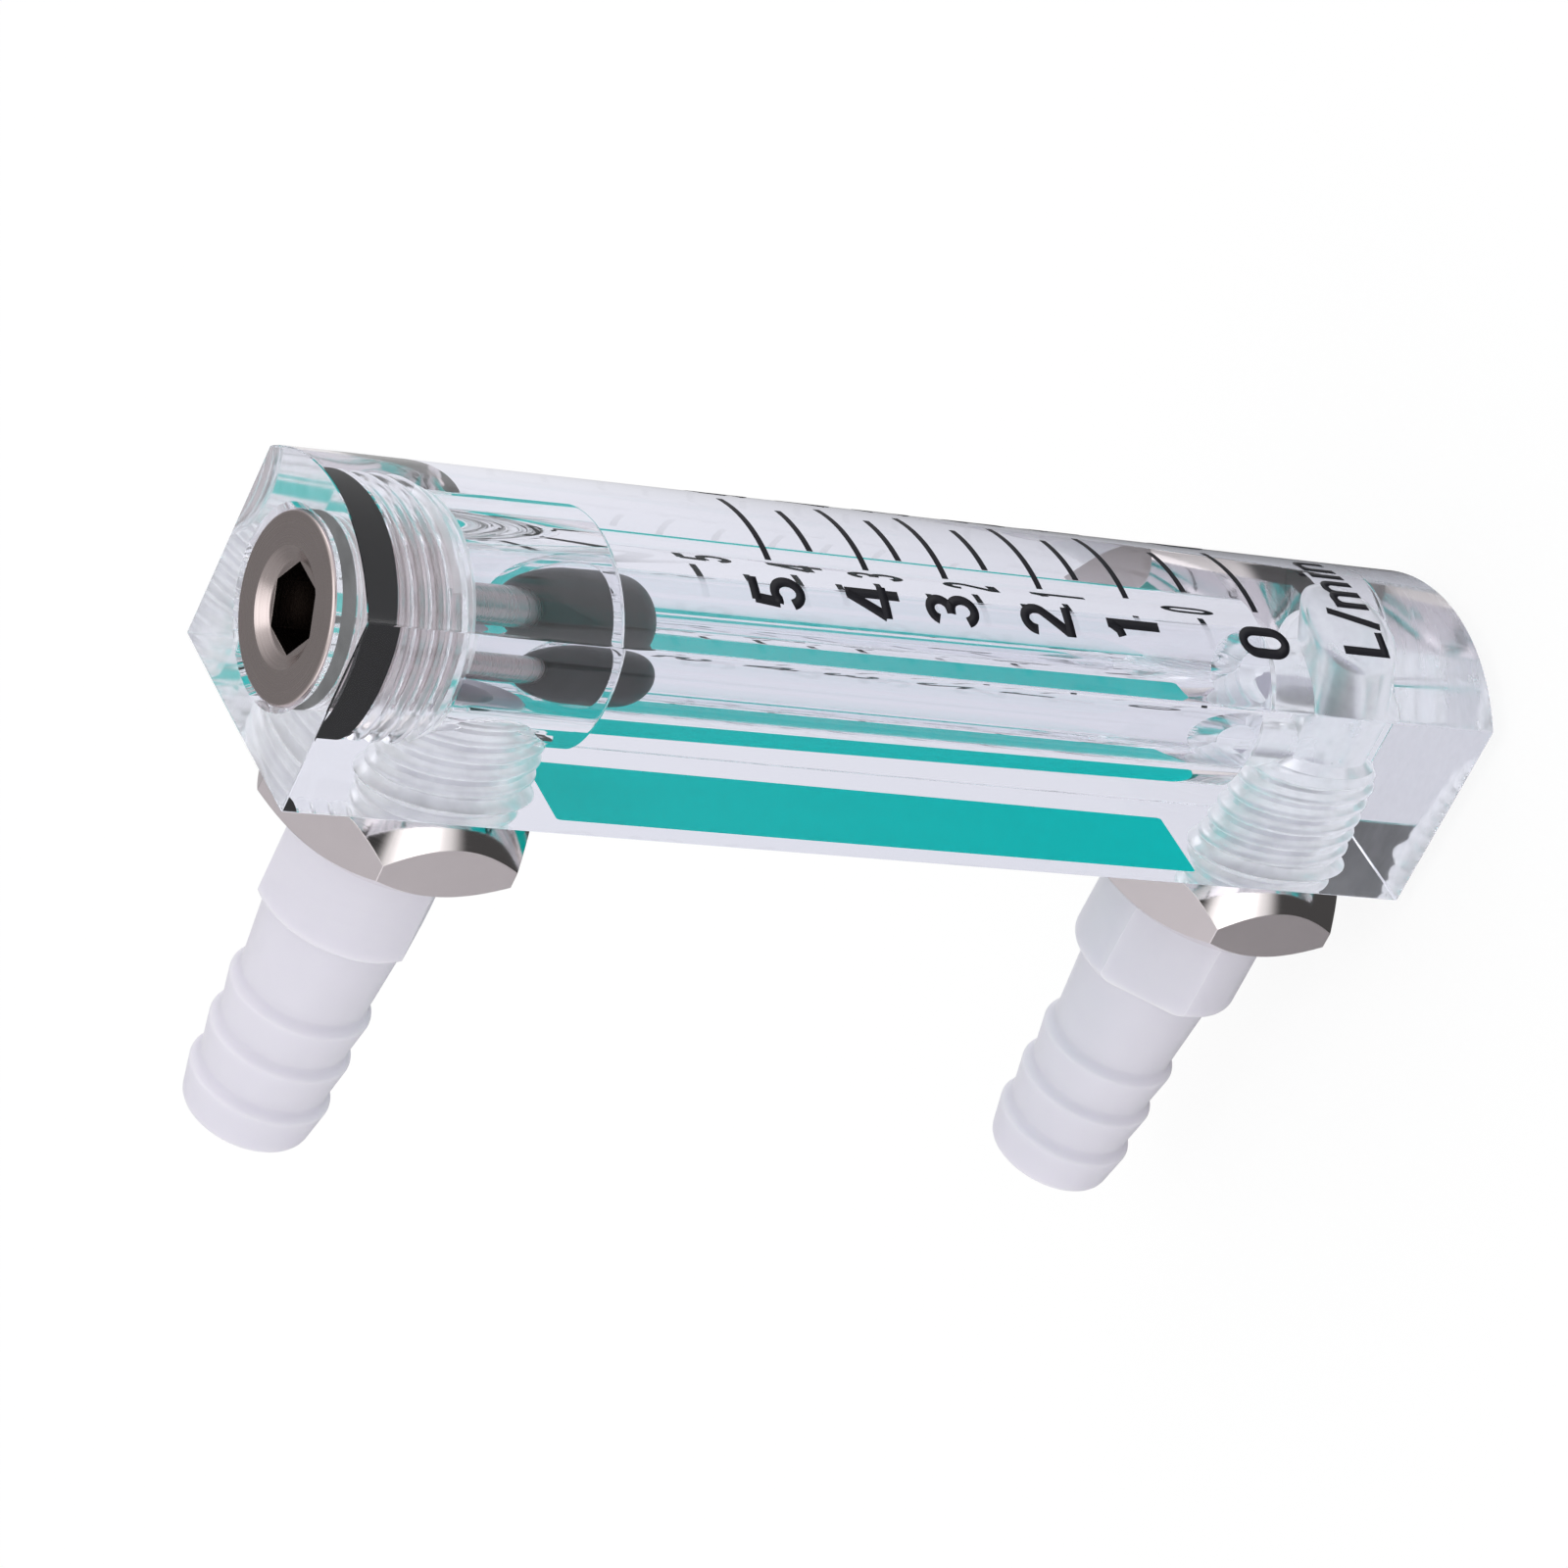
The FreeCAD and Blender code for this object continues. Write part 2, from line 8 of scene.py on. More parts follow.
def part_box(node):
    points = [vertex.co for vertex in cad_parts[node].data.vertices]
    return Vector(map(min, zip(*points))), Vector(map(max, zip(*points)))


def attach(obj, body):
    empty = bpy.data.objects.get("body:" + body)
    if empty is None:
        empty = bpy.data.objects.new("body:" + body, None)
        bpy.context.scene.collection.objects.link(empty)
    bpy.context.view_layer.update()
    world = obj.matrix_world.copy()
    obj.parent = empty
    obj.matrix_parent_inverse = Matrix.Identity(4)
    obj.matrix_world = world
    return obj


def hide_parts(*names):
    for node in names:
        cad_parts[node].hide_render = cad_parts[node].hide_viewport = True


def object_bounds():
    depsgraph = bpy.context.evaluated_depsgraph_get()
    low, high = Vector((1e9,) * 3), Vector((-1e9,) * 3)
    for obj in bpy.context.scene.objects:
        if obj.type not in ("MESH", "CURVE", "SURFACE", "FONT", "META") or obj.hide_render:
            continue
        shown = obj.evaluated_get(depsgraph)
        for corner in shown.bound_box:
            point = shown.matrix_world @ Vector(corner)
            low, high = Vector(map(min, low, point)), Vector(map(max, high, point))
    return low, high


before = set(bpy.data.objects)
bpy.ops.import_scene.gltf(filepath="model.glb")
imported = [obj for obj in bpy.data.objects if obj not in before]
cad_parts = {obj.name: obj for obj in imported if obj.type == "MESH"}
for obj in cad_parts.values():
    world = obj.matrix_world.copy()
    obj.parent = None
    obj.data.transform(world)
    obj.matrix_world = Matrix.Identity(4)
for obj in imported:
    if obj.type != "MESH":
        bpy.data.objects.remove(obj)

# Oxygen flowmeter. The clear block is drilled and tapped for real, so that light finds the
# same way through it as in the real one. Then come the pieces in and on it, the print,
# the studio and the camera. Shapes are drawn in millimetres and brought to metres at the end.

cadBounds = [list(corner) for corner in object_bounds()]
mm = 0.001


def boxMm(node):
    low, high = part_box(node)
    return low / mm, high / mm


# Node helpers

class Wire:
    # One output of a node. Arithmetic on it adds Math nodes to its tree.
    def __init__(self, tree, socket):
        self.tree = tree
        self.socket = socket

    def math(self, operation, *others):
        return addNode(self.tree, "ShaderNodeMath", {"operation": operation},
                       dict(enumerate((self,) + others)))

    def __add__(self, other):
        return self.math("ADD", other)

    def __sub__(self, other):
        return self.math("SUBTRACT", other)

    def __rsub__(self, other):
        return addNode(self.tree, "ShaderNodeMath", {"operation": "SUBTRACT"}, {0: other, 1: self})

    def __mul__(self, other):
        return self.math("MULTIPLY", other)

    def __truediv__(self, other):
        return self.math("DIVIDE", other)

    def ramp(self, low, high, outLow=0.0, outHigh=1.0):
        return addNode(self.tree, "ShaderNodeMapRange", {"interpolation_type": "SMOOTHSTEP"},
                       {"Value": self, "From Min": low, "From Max": high,
                        "To Min": outLow, "To Max": outHigh})

    def mix(self, first, second, kind="RGBA"):
        # The Mix node has sockets of its own for each kind of value.
        inputs = {"RGBA": (6, 7), "FLOAT": (2, 3)}[kind]
        return addNode(self.tree, "ShaderNodeMix", {"data_type": kind},
                       {0: self, inputs[0]: first, inputs[1]: second},
                       out={"RGBA": 2, "FLOAT": 0}[kind])


def addNode(tree, kind, settings=None, inputs=None, out=0):
    node = tree.nodes.new(kind)
    for name, value in (settings or {}).items():
        setattr(node, name, value)
    for name, value in (inputs or {}).items():
        socket = node.inputs[name]
        if isinstance(value, Wire):
            tree.links.new(value.socket, socket)
        elif socket.type == "RGBA":
            socket.default_value = (*value, 1.0)
        else:
            socket.default_value = value
    return Wire(tree, node.outputs[out]) if len(node.outputs) else None


def splitVector(wire):
    first = addNode(wire.tree, "ShaderNodeSeparateXYZ", None, {0: wire})
    outputs = first.socket.node.outputs
    return [Wire(wire.tree, outputs[i]) for i in range(3)]


def joinVector(tree, x, y, z):
    return addNode(tree, "ShaderNodeCombineXYZ", None, {0: x, 1: y, 2: z})


def newTree(name, sizes, takesMesh=True):
    # A geometry tree with a named input for each size. Returns it with its inputs by name.
    tree = bpy.data.node_groups.new(name, "GeometryNodeTree")
    tree.is_modifier = True
    if takesMesh:
        tree.interface.new_socket("Geometry", in_out="INPUT", socket_type="NodeSocketGeometry")
    for key, value in sizes.items():
        kind = "NodeSocketInt" if isinstance(value, int) else "NodeSocketFloat"
        tree.interface.new_socket(key, in_out="INPUT", socket_type=kind).default_value = value
    tree.interface.new_socket("Material", in_out="INPUT", socket_type="NodeSocketMaterial")
    tree.interface.new_socket("Geometry", in_out="OUTPUT", socket_type="NodeSocketGeometry")
    source = tree.nodes.new("NodeGroupInput")
    return tree, {socket.name: Wire(tree, socket) for socket in source.outputs if socket.name}


def endTree(tree, geometry, material):
    real = addNode(tree, "GeometryNodeRealizeInstances", None, {"Geometry": geometry})
    dressed = addNode(tree, "GeometryNodeSetMaterial", None,
                      {"Geometry": real, "Material": material})
    addNode(tree, "NodeGroupOutput", None, {0: dressed})
    return tree


def runTree(tree, name, values, start=None):
    # Runs a node tree on an object and leaves it as a plain mesh.
    thing = start or linked(bpy.data.meshes.new(name), name)
    modifier = thing.modifiers.new(name, "NODES")
    modifier.node_group = tree
    sockets = {item.name: item.identifier for item in tree.interface.items_tree
               if item.in_out == "INPUT"}
    for key, value in values.items():
        modifier[sockets[key]] = value
    return evaluated(thing)


# Mesh helpers

over = 1.0  # how far a cutting tool stands out of what it cuts
bite = 0.02  # how far a thread sinks into the rod or the hole that carries it


def arc(x, y, radiusX, radiusY, start, end, steps=14):
    turns = [radians(start + (end - start) * i / steps) for i in range(steps + 1)]
    return [(x + radiusX * cos(turn), y + radiusY * sin(turn)) for turn in turns]


def rounded(corners, steps=5):
    # Corners are (radius, height) or (radius, height, fillet). A fillet takes less than
    # half of the sides that it joins.
    mostOfSide = 0.49
    points = []
    for i, corner in enumerate(corners):
        here = Vector(corner[:2])
        if len(corner) < 3 or i in (0, len(corners) - 1):
            points.append(here)
            continue
        before = Vector(corners[i - 1][:2]) - here
        after = Vector(corners[i + 1][:2]) - here
        half = before.angle(after) / 2
        reach = min(corner[2] / tan(half), before.length * mostOfSide,
                    after.length * mostOfSide)
        middle = here + (before.normalized() + after.normalized()).normalized() * (
            reach / cos(half))
        first = here + before.normalized() * reach - middle
        last = here + after.normalized() * reach - middle
        start = atan2(first.y, first.x)
        sweep = (atan2(last.y, last.x) - start + pi) % (2 * pi) - pi
        for step in range(steps + 1):
            turn = start + sweep * step / steps
            points.append(middle + first.length * Vector((cos(turn), sin(turn))))
    return points


def lathe(profile, segments=128, closed=False):
    # Turns a profile about Z. A closed profile makes a ring, and an open one ends on the axis.
    bm = bmesh.new()
    turns = [2 * pi * i / segments for i in range(segments)]
    rings = []
    for radius, height in map(Vector, profile):
        if radius < 1e-6:
            rings.append([bm.verts.new((0, 0, height))])
        else:
            rings.append([bm.verts.new((radius * cos(turn), radius * sin(turn), height))
                          for turn in turns])
    following = rings[1:] + rings[:1] if closed else rings[1:]
    for low, high in zip(rings, following):
        for i in range(segments):
            j = (i + 1) % segments
            corners = [low[i % len(low)], low[j % len(low)],
                       high[j % len(high)], high[i % len(high)]]
            corners = list(dict.fromkeys(corners))
            if len(corners) > 2:
                bm.faces.new(corners)
    bmesh.ops.recalc_face_normals(bm, faces=bm.faces)
    return bm


def prism(outline, low, high):
    # Raises a flat outline in X and Y from one height to another.
    bm = bmesh.new()
    face = bm.faces.new([bm.verts.new((x, y, low)) for x, y in outline])
    walls = bmesh.ops.extrude_face_region(bm, geom=[face])
    raised = [item for item in walls["geom"] if isinstance(item, bmesh.types.BMVert)]
    bmesh.ops.translate(bm, verts=raised, vec=(0, 0, high - low))
    bmesh.ops.recalc_face_normals(bm, faces=bm.faces)
    return bm


def hexagonOutline(across, turn=0.0):
    radius = across / 2 / cos(pi / 6)
    return [(radius * cos(turn + i * pi / 3), radius * sin(turn + i * pi / 3))
            for i in range(6)]


def drillLength(radius, angle=118.0):
    return radius / tan(radians(angle / 2))


def linked(mesh, name):
    thing = bpy.data.objects.new(name, mesh)
    bpy.context.scene.collection.objects.link(thing)
    return thing


def asObject(bm, name, place=None):
    mesh = bpy.data.meshes.new(name)
    bm.to_mesh(mesh)
    bm.free()
    if place:
        mesh.transform(place)
    return linked(mesh, name)


def evaluated(thing):
    # The object's mesh with its modifiers worked in, as a plain mesh.
    graph = bpy.context.evaluated_depsgraph_get()
    mesh = bpy.data.meshes.new_from_object(thing.evaluated_get(graph), depsgraph=graph)
    thing.modifiers.clear()
    thing.data = mesh
    return thing


def combined(base, tools, operation="DIFFERENCE"):
    # Cuts, keeps or adds each tool in turn, then throws the tools away.
    for tool in tools:
        cut = base.modifiers.new("cut", "BOOLEAN")
        cut.operation = operation
        cut.solver = "MANIFOLD"
        cut.object = tool
        evaluated(base)
        bpy.data.objects.remove(tool)


def smoothed(thing, limit, flatNormals=()):
    # Smooth shading, broken at edges over the limit and round the named flat faces.
    mesh = thing.data
    mesh.shade_smooth()
    normals = [Vector(normal) for normal in flatNormals]
    bm = bmesh.new()
    bm.from_mesh(mesh)
    flats = {face.index for face in bm.faces
             if any(face.normal.dot(normal) > 0.99999 for normal in normals)}
    for edge in bm.edges:
        sides = edge.link_faces
        if len(sides) != 2:
            continue
        onlyOneFlat = len({face.index in flats for face in sides}) == 2
        most = 2 if onlyOneFlat else limit
        edge.smooth = edge.calc_face_angle(0.0) <= radians(most)
    bm.to_mesh(mesh)
    bm.free()


def finished(thing, name, body, material, nodes=()):
    # Brings a piece to metres and tells the frame what it is.
    thing.data.transform(Matrix.Scale(mm, 4))
    thing.name = thing.data.name = name
    thing.data.materials.clear()
    thing.data.materials.append(material)
    if nodes:
        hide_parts(*nodes)
    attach(thing, body)
    print("made", name, len(thing.data.polygons), "faces")


# Screw threads, one tree for the taps that cut the block and for the screws in it

screw = {"pitch": 1.25, "ringsPerTurn": 20}


def threadTree():
    tree, size = newTree("Screw thread", {
        "Segments": 128, "Rings": 64, "Length": 6.0, "Centre": 0.0, "Crest Radius": 6.0,
        "Root Radius": 5.3, "Pitch": 1.25, "Flat": 0.12, "Lead In": 0.6, "Lead Out": 0.6,
        "Taper": 0.0}, takesMesh=False)
    rod = addNode(tree, "GeometryNodeMeshCylinder", {"fill_type": "NGON"},
                  {"Vertices": size["Segments"], "Side Segments": size["Rings"],
                   "Radius": size["Crest Radius"], "Depth": size["Length"]})
    x, y, z = splitVector(addNode(tree, "GeometryNodeInputPosition"))
    turn = y.math("ARCTAN2", x) / (2 * pi)
    wave = ((z + size["Centre"]) / size["Pitch"] - turn).math("PINGPONG", 0.5) * 2
    height = wave.ramp(size["Flat"], 1 - size["Flat"])
    depth = size["Crest Radius"] - size["Root Radius"]
    fromStart = (z + size["Length"] / 2) / size["Lead In"]
    fromEnd = (size["Length"] / 2 - z) / size["Lead Out"]
    lead = fromStart.math("MINIMUM", fromEnd).math("MINIMUM", 1.0).math("MAXIMUM", 0.0)
    flare = (z + size["Length"] / 2) * size["Taper"]
    radius = size["Root Radius"] + depth * height.math("MINIMUM", lead) + flare
    grow = radius / size["Crest Radius"]
    moved = addNode(tree, "GeometryNodeSetPosition", None,
                    {"Geometry": rod, "Position": joinVector(tree, x * grow, y * grow, z)})
    return endTree(tree, moved, size["Material"])


screwTree = threadTree()


def thread(name, low, high, crest, root, leads, place, taper=0.0):
    # A threaded rod along Z from one height to another, in step with every other one.
    length = high - low
    rod = runTree(screwTree, name, {
        "Rings": ceil(length / screw["pitch"] * screw["ringsPerTurn"]), "Length": length,
        "Centre": (low + high) / 2, "Crest Radius": crest, "Root Radius": root,
        "Pitch": screw["pitch"], "Lead In": leads[0], "Lead Out": leads[1], "Taper": taper})
    rod.data.transform(Matrix.Translation((0, 0, (low + high) / 2)))
    rod.data.transform(place)
    return rod


# Places and radii that the frame gives

blockLow, blockHigh = boxMm("flow_body")
plugLow, plugHigh = boxMm("top_plug")
ringLow, ringHigh = boxMm("plug_o_ring")
floatLow, floatHigh = boxMm("metering_float")
fittingLow, fittingHigh = boxMm("upper_barb")
nutLow, nutHigh = boxMm("upper_nut")
halfWidth = blockHigh.x
topEnd = blockHigh.z
boreY = (plugLow.y + plugHigh.y) / 2
portZ = (fittingLow.z + fittingHigh.z) / 2
ports = {"upper": portZ, "lower": -portZ}
onBore = Matrix.Translation((0, boreY, 0))
onTop = onBore @ Matrix.Translation((0, 0, topEnd))


def onPort(z):
    # Turns +Z to +Y, on a port's axis.
    return Matrix.Translation((0, 0, z)) @ Matrix.Rotation(-pi / 2, 4, "X")


# Clear block. Depths in the bore are from the top end, and those of the sides, the ports
# and the passages from the back face.

block = {
    "sideDepth": 14.5, "crownSteps": 72, "sharpAngle": 20, "edgeBevel": 0.1,
    "mouthChamfer": 0.35, "sealDepth": 3.95,
    "tapDepth": 9.2, "tapCrest": 6.06, "tapRoot": 5.38, "tapStart": 0.5, "tapEnd": 0.3,
    "tapPast": (0.1, 0.3), "tapLeads": (1.2, 0.5),
    "chamberRadius": 5.3, "shoulderDepth": 20.0, "shoulderFillet": 0.35,
    "taperTop": 4.1, "taperEnd": 3.64, "taperFillet": 0.15,
    "seatRadius": 1.9, "seatDepth": 70.32,
    "portTapDepth": 8.0, "portCrest": 5.06, "portTeeth": 0.6, "portTaper": 0.112,
    "portStart": 0.3, "portEnd": 0.6, "portFillet": 0.2, "portTop": 0.05,
    "portLeads": (0.8, 0.2),
    "passageRadius": 3.5, "passageDepth": {"upper": 9.0, "lower": 14.4},
    "passageEdge": 1.1, "passageCone": 0.3,
    "flatSides": ((0, 0, 1), (0, 0, -1), (1, 0, 0), (-1, 0, 0), (0, 1, 0)),
    "frost": {"sawnTop": 0.11, "sawnBottom": 0.07, "thread": 0.13, "portThread": 0.42,
              "passage": 0.3, "upperBore": 0.01, "lowerBore": 0.03}}


def crownRadius():
    rise = blockHigh.y - blockLow.y - block["sideDepth"]
    return (halfWidth ** 2 + rise ** 2) / (2 * rise)


def crownY(x):
    # Y of the curved front at an X across the block.
    return blockLow.y + crownRadius() - sqrt(crownRadius() ** 2 - x ** 2)


def boreTools():
    # The stepped and tapered bore, and the tap for the plug.
    b = block
    seatCone = drillLength(b["taperEnd"]) - drillLength(b["seatRadius"])
    bore = rounded([
        (0, over), (b["tapCrest"] + b["mouthChamfer"] + over, over),
        (b["tapCrest"], -b["mouthChamfer"]),
        (b["tapCrest"], -b["sealDepth"]),
        (b["tapRoot"], -b["sealDepth"] - b["tapStart"]),
        (b["tapRoot"], -b["tapDepth"]),
        (b["chamberRadius"], -b["tapDepth"] - b["tapEnd"]),
        (b["chamberRadius"], -b["shoulderDepth"], b["shoulderFillet"]),
        (b["taperTop"], -b["shoulderDepth"], b["taperFillet"]),
        (b["taperEnd"], -b["seatDepth"] + seatCone),
        (b["seatRadius"], -b["seatDepth"]),
        (b["seatRadius"], -topEnd - portZ),
        (0, -topEnd - portZ)])
    pastEnd, pastStart = b["tapPast"]
    tap = thread("tap", topEnd - b["tapDepth"] - pastEnd, topEnd - b["sealDepth"] + pastStart,
                 b["tapCrest"], b["tapRoot"] - bite, b["tapLeads"], onBore)
    return [asObject(lathe(bore), "bore", onTop), tap]


def portTools(side, z):
    # A port that narrows inwards with its cross drilling, and the tap for its fitting.
    b = block
    root = b["portCrest"] - b["portTeeth"]
    mouth = b["portCrest"] + b["portTaper"] * b["portTapDepth"]
    end = b["passageDepth"][side]
    port = rounded([
        (0, over), (mouth + b["mouthChamfer"] + over, over), (mouth, -b["mouthChamfer"]),
        (mouth - b["portTeeth"], -b["mouthChamfer"] - b["portStart"]),
        (root, -b["portTapDepth"]),
        (b["passageRadius"], -b["portTapDepth"] - b["portEnd"], b["portFillet"]),
        (b["passageRadius"], -end + b["passageCone"], b["passageEdge"]),
        (0, -end - b["passageCone"])])
    tap = thread("portTap", -b["portTapDepth"], -b["portTop"], b["portCrest"], root - bite,
                 b["portLeads"], onPort(z), b["portTaper"])
    return [asObject(lathe(port), "port", onPort(z)), tap]


def makeBlock(material):
    b = block
    steps = b["crownSteps"]
    front = [halfWidth * (2 * i / steps - 1) for i in range(steps + 1)]
    outline = [(x, crownY(x)) for x in front] + [(halfWidth, 0), (-halfWidth, 0)]
    bm = prism(outline, blockLow.z, topEnd)
    sharp = [edge for edge in bm.edges if edge.calc_face_angle(0) > radians(b["sharpAngle"])]
    bmesh.ops.bevel(bm, geom=sharp, offset=b["edgeBevel"], segments=2, profile=0.5,
                    affect="EDGES", clamp_overlap=True)
    solid = asObject(bm, "block")
    combined(solid, boreTools())
    for side, z in ports.items():
        combined(solid, portTools(side, z))
    smoothed(solid, 35, b["flatSides"])
    markFrost(solid.data)
    finished(solid, "clearBlock", "housing", material, ["flow_body"])


def markFrost(mesh):
    # How milky each wall is: polished outside, sawn ends, a reamed bore, cut threads, ports.
    # Faces are told apart by their middles, with small margins in mm.
    b = block
    milky = b["frost"]
    skin = b["edgeBevel"] + 0.01
    radius = crownRadius()
    mark = mesh.attributes.new("frost", "FLOAT", "FACE")
    for face, value in zip(mesh.polygons, mark.data):
        c = face.center
        sawn = c.z > topEnd - 0.01 or c.z < blockLow.z + 0.01
        outside = (abs(c.x) > halfWidth - skin or c.y > -skin or c.z > topEnd - skin
                   or c.z < blockLow.z + skin
                   or sqrt(c.x ** 2 + (c.y - blockLow.y - radius) ** 2) > radius - skin)
        inPort = sqrt(c.x ** 2 + (abs(c.z) - portZ) ** 2) < 6.4
        inBore = sqrt(c.x ** 2 + (c.y - boreY) ** 2) < b["chamberRadius"] + 0.02
        inThread = topEnd - b["tapDepth"] - 0.2 < c.z < topEnd - b["sealDepth"] - 0.05
        if sawn:
            value.value = milky["sawnTop"] if c.z > 0 else milky["sawnBottom"]
        elif outside:
            value.value = 0.0
        elif inPort and (c.z < 0 or not inBore):
            threaded = c.y > -b["portTapDepth"] - 0.2
            value.value = milky["portThread"] if threaded else milky["passage"]
        elif inThread:
            value.value = milky["thread"]
        else:
            value.value = milky["upperBore"] if c.z > 0 else milky["lowerBore"]


# Top plug. Depths are from the top end.

plug = {
    "headChamfer": 0.3, "grooveTop": 1.3, "grooveFloor": 4.1, "grooveHeight": 2.61,
    "grooveEdge": 0.08, "length": 8.1, "threadCrest": 5.98, "threadRoot": 5.3,
    "threadStart": 0.5, "threadLeads": (0.8, 0.5),
    "stemRadius": 1.7, "stemFillet": 0.3, "stemEdge": 0.25,
    "socketAcross": 5.0, "socketDepth": 4.6, "drillDeeper": 0.2, "drillNarrower": 0.05,
    "sinkRadius": 3.8, "sinkDepth": 0.6, "sinkFillet": 0.15, "sinkEdge": 0.1,
    "stemShade": 0.3}


def makePlug(material):
    p = plug
    radius = plugHigh.x
    corner = p["socketAcross"] / 2 / cos(pi / 6)
    grooveEnd = p["grooveTop"] + p["grooveHeight"]
    tip = topEnd - plugLow.z
    body = rounded([
        (0, -p["sinkDepth"]), (corner, -p["sinkDepth"], p["sinkFillet"]),
        (p["sinkRadius"], 0, p["sinkEdge"]),
        (radius, 0, p["headChamfer"]), (radius, -p["grooveTop"], p["grooveEdge"]),
        (p["grooveFloor"], -p["grooveTop"]), (p["grooveFloor"], -grooveEnd),
        (radius, -grooveEnd, p["grooveEdge"]),
        (p["threadRoot"], -grooveEnd - p["threadStart"]), (p["threadRoot"], -p["length"]),
        (p["stemRadius"], -p["length"], p["stemFillet"]),
        (p["stemRadius"], -tip, p["stemEdge"]), (0, -tip)])
    solid = asObject(lathe(body), "plug", onTop)
    screwed = thread("plugThread", topEnd - p["length"],
                     topEnd - grooveEnd - p["threadStart"] / 2,
                     p["threadCrest"], p["threadRoot"] - bite, p["threadLeads"], onBore)
    combined(solid, [screwed], "UNION")
    socket = prism(hexagonOutline(p["socketAcross"]), topEnd - p["socketDepth"], topEnd + over)
    wide = p["socketAcross"] / 2 - p["drillNarrower"]
    deep = p["socketDepth"] + p["drillDeeper"]
    drill = lathe([(0, over), (wide, over), (wide, -deep),
                   (0, -deep - drillLength(p["socketAcross"] / 2))], 64)
    combined(solid, [asObject(socket, "socket", onBore), asObject(drill, "drill", onTop)])
    smoothed(solid, 32, [(0, 0, 1)])
    markDeep(solid.data)
    finished(solid, "turnedPlug", "housing", material, ["top_plug"])


def markDeep(mesh):
    # Writes 1 on the walls inside the key socket, for a painted dark shade there, and less on the
    # stem, for a lighter painted shade. The small numbers are margins in mm.
    p = plug
    bottom = p["socketDepth"] + p["drillDeeper"] + drillLength(p["socketAcross"] / 2)
    mark = mesh.attributes.new("deep", "FLOAT", "FACE")
    for face, value in zip(mesh.polygons, mark.data):
        c = face.center
        down = topEnd - c.z
        nearAxis = c.x ** 2 + (c.y - boreY) ** 2 < (p["socketAcross"] / 2 + 0.4) ** 2
        if nearAxis and p["sinkDepth"] + 0.02 < down < bottom + 0.02:
            value.value = 1.0
        elif down > p["length"] + 0.05:
            value.value = p["stemShade"]
        else:
            value.value = 0.0


# Seal ring, pressed flat against the wall of the bore, so that no air lies between them

sealRing = {"inside": 0.02, "press": 0.012, "shoulder": 0.1, "rounding": 0.5}


def makeSealRing(material):
    inner = plug["grooveFloor"] + sealRing["inside"]
    outer = block["tapCrest"] + sealRing["press"]
    low, high = ringLow.z, ringHigh.z
    shoulder, rounding = sealRing["shoulder"], sealRing["rounding"]
    section = [(inner, low + rounding), (inner + rounding, low)]
    section += arc(outer - rounding, low + shoulder, rounding, shoulder, -90, 0, 4)
    section += [(radius, low + high - height) for radius, height in reversed(section)]
    ring = asObject(lathe(section, closed=True), "seal", onBore)
    smoothed(ring, 40)
    finished(ring, "pressedSeal", "housing", material, ["plug_o_ring"])


# Float: a domed nose of its full radius, a straight band and a rounded shoulder

floatShape = {"topRound": 2.2, "band": 1.7}


def makeFloat(material):
    radius = floatHigh.x
    shoulder = floatShape["topRound"]
    dome = floatLow.z + radius
    bandTop = dome + floatShape["band"]
    profile = arc(0, dome, radius, radius, -90, 0, 24)
    profile += arc(radius - shoulder, bandTop, shoulder, shoulder, 0, 90, 16)
    profile.append((0, floatHigh.z))
    thing = asObject(lathe(profile), "float", onBore)
    smoothed(thing, 40)
    finished(thing, "domedFloat", "float", material, ["metering_float"])


# Hose fittings. Lengths are from the back face.

fitting = {
    "gap": 0.07, "rootTop": 0.05, "threadTop": 0.06, "threadLeads": (0.7, 0.1),
    "neckSunk": 0.02, "neckLength": 13.6, "neckEdge": 0.5, "neckFillet": 0.15,
    "neckFlats": 10.05, "flatsTurn": {"upper": 52.0, "lower": 142.0}, "flatsReach": 8.0,
    "flatsDepth": 3.0, "flatsPast": 0.5,
    "shank": 4.85, "root": 4.3, "rootFillet": 0.7, "barb": 4.82, "barbEdge": 0.4,
    "barbs": 3, "firstBarb": 20.7, "barbPitch": 3.6, "firstFace": 0.6, "nextFace": 0.55,
    "tipRadius": 4.25, "tipRound": 1.6, "hoseBore": 2.9, "boreEdge": 0.25, "boreShort": 0.3}


def fittingProfile(low, tip, root):
    # Out along the thread's root, the neck and the barbs to the tip, and back inside.
    f = fitting
    corners = [(f["hoseBore"], low), (root, low),
               (root - block["portTaper"] * low, -f["rootTop"]),
               (fittingHigh.x, -f["neckSunk"], f["neckSunk"]),
               (fittingHigh.x, f["neckLength"], f["neckEdge"]),
               (f["shank"], f["neckLength"], f["neckFillet"]),
               (f["root"], f["firstBarb"] - f["firstFace"], f["rootFillet"])]
    for i in range(f["barbs"]):
        edge = f["firstBarb"] + i * f["barbPitch"]
        corners.append((f["barb"], edge, f["barbEdge"]))
        if i < f["barbs"] - 1:
            corners.append((f["root"], edge + f["barbPitch"] - f["nextFace"],
                            f["rootFillet"]))
    corners += [(f["tipRadius"], tip, f["tipRound"]), (f["hoseBore"], tip, f["boreEdge"]),
                (f["hoseBore"], low + 0.1)]
    return rounded(corners)


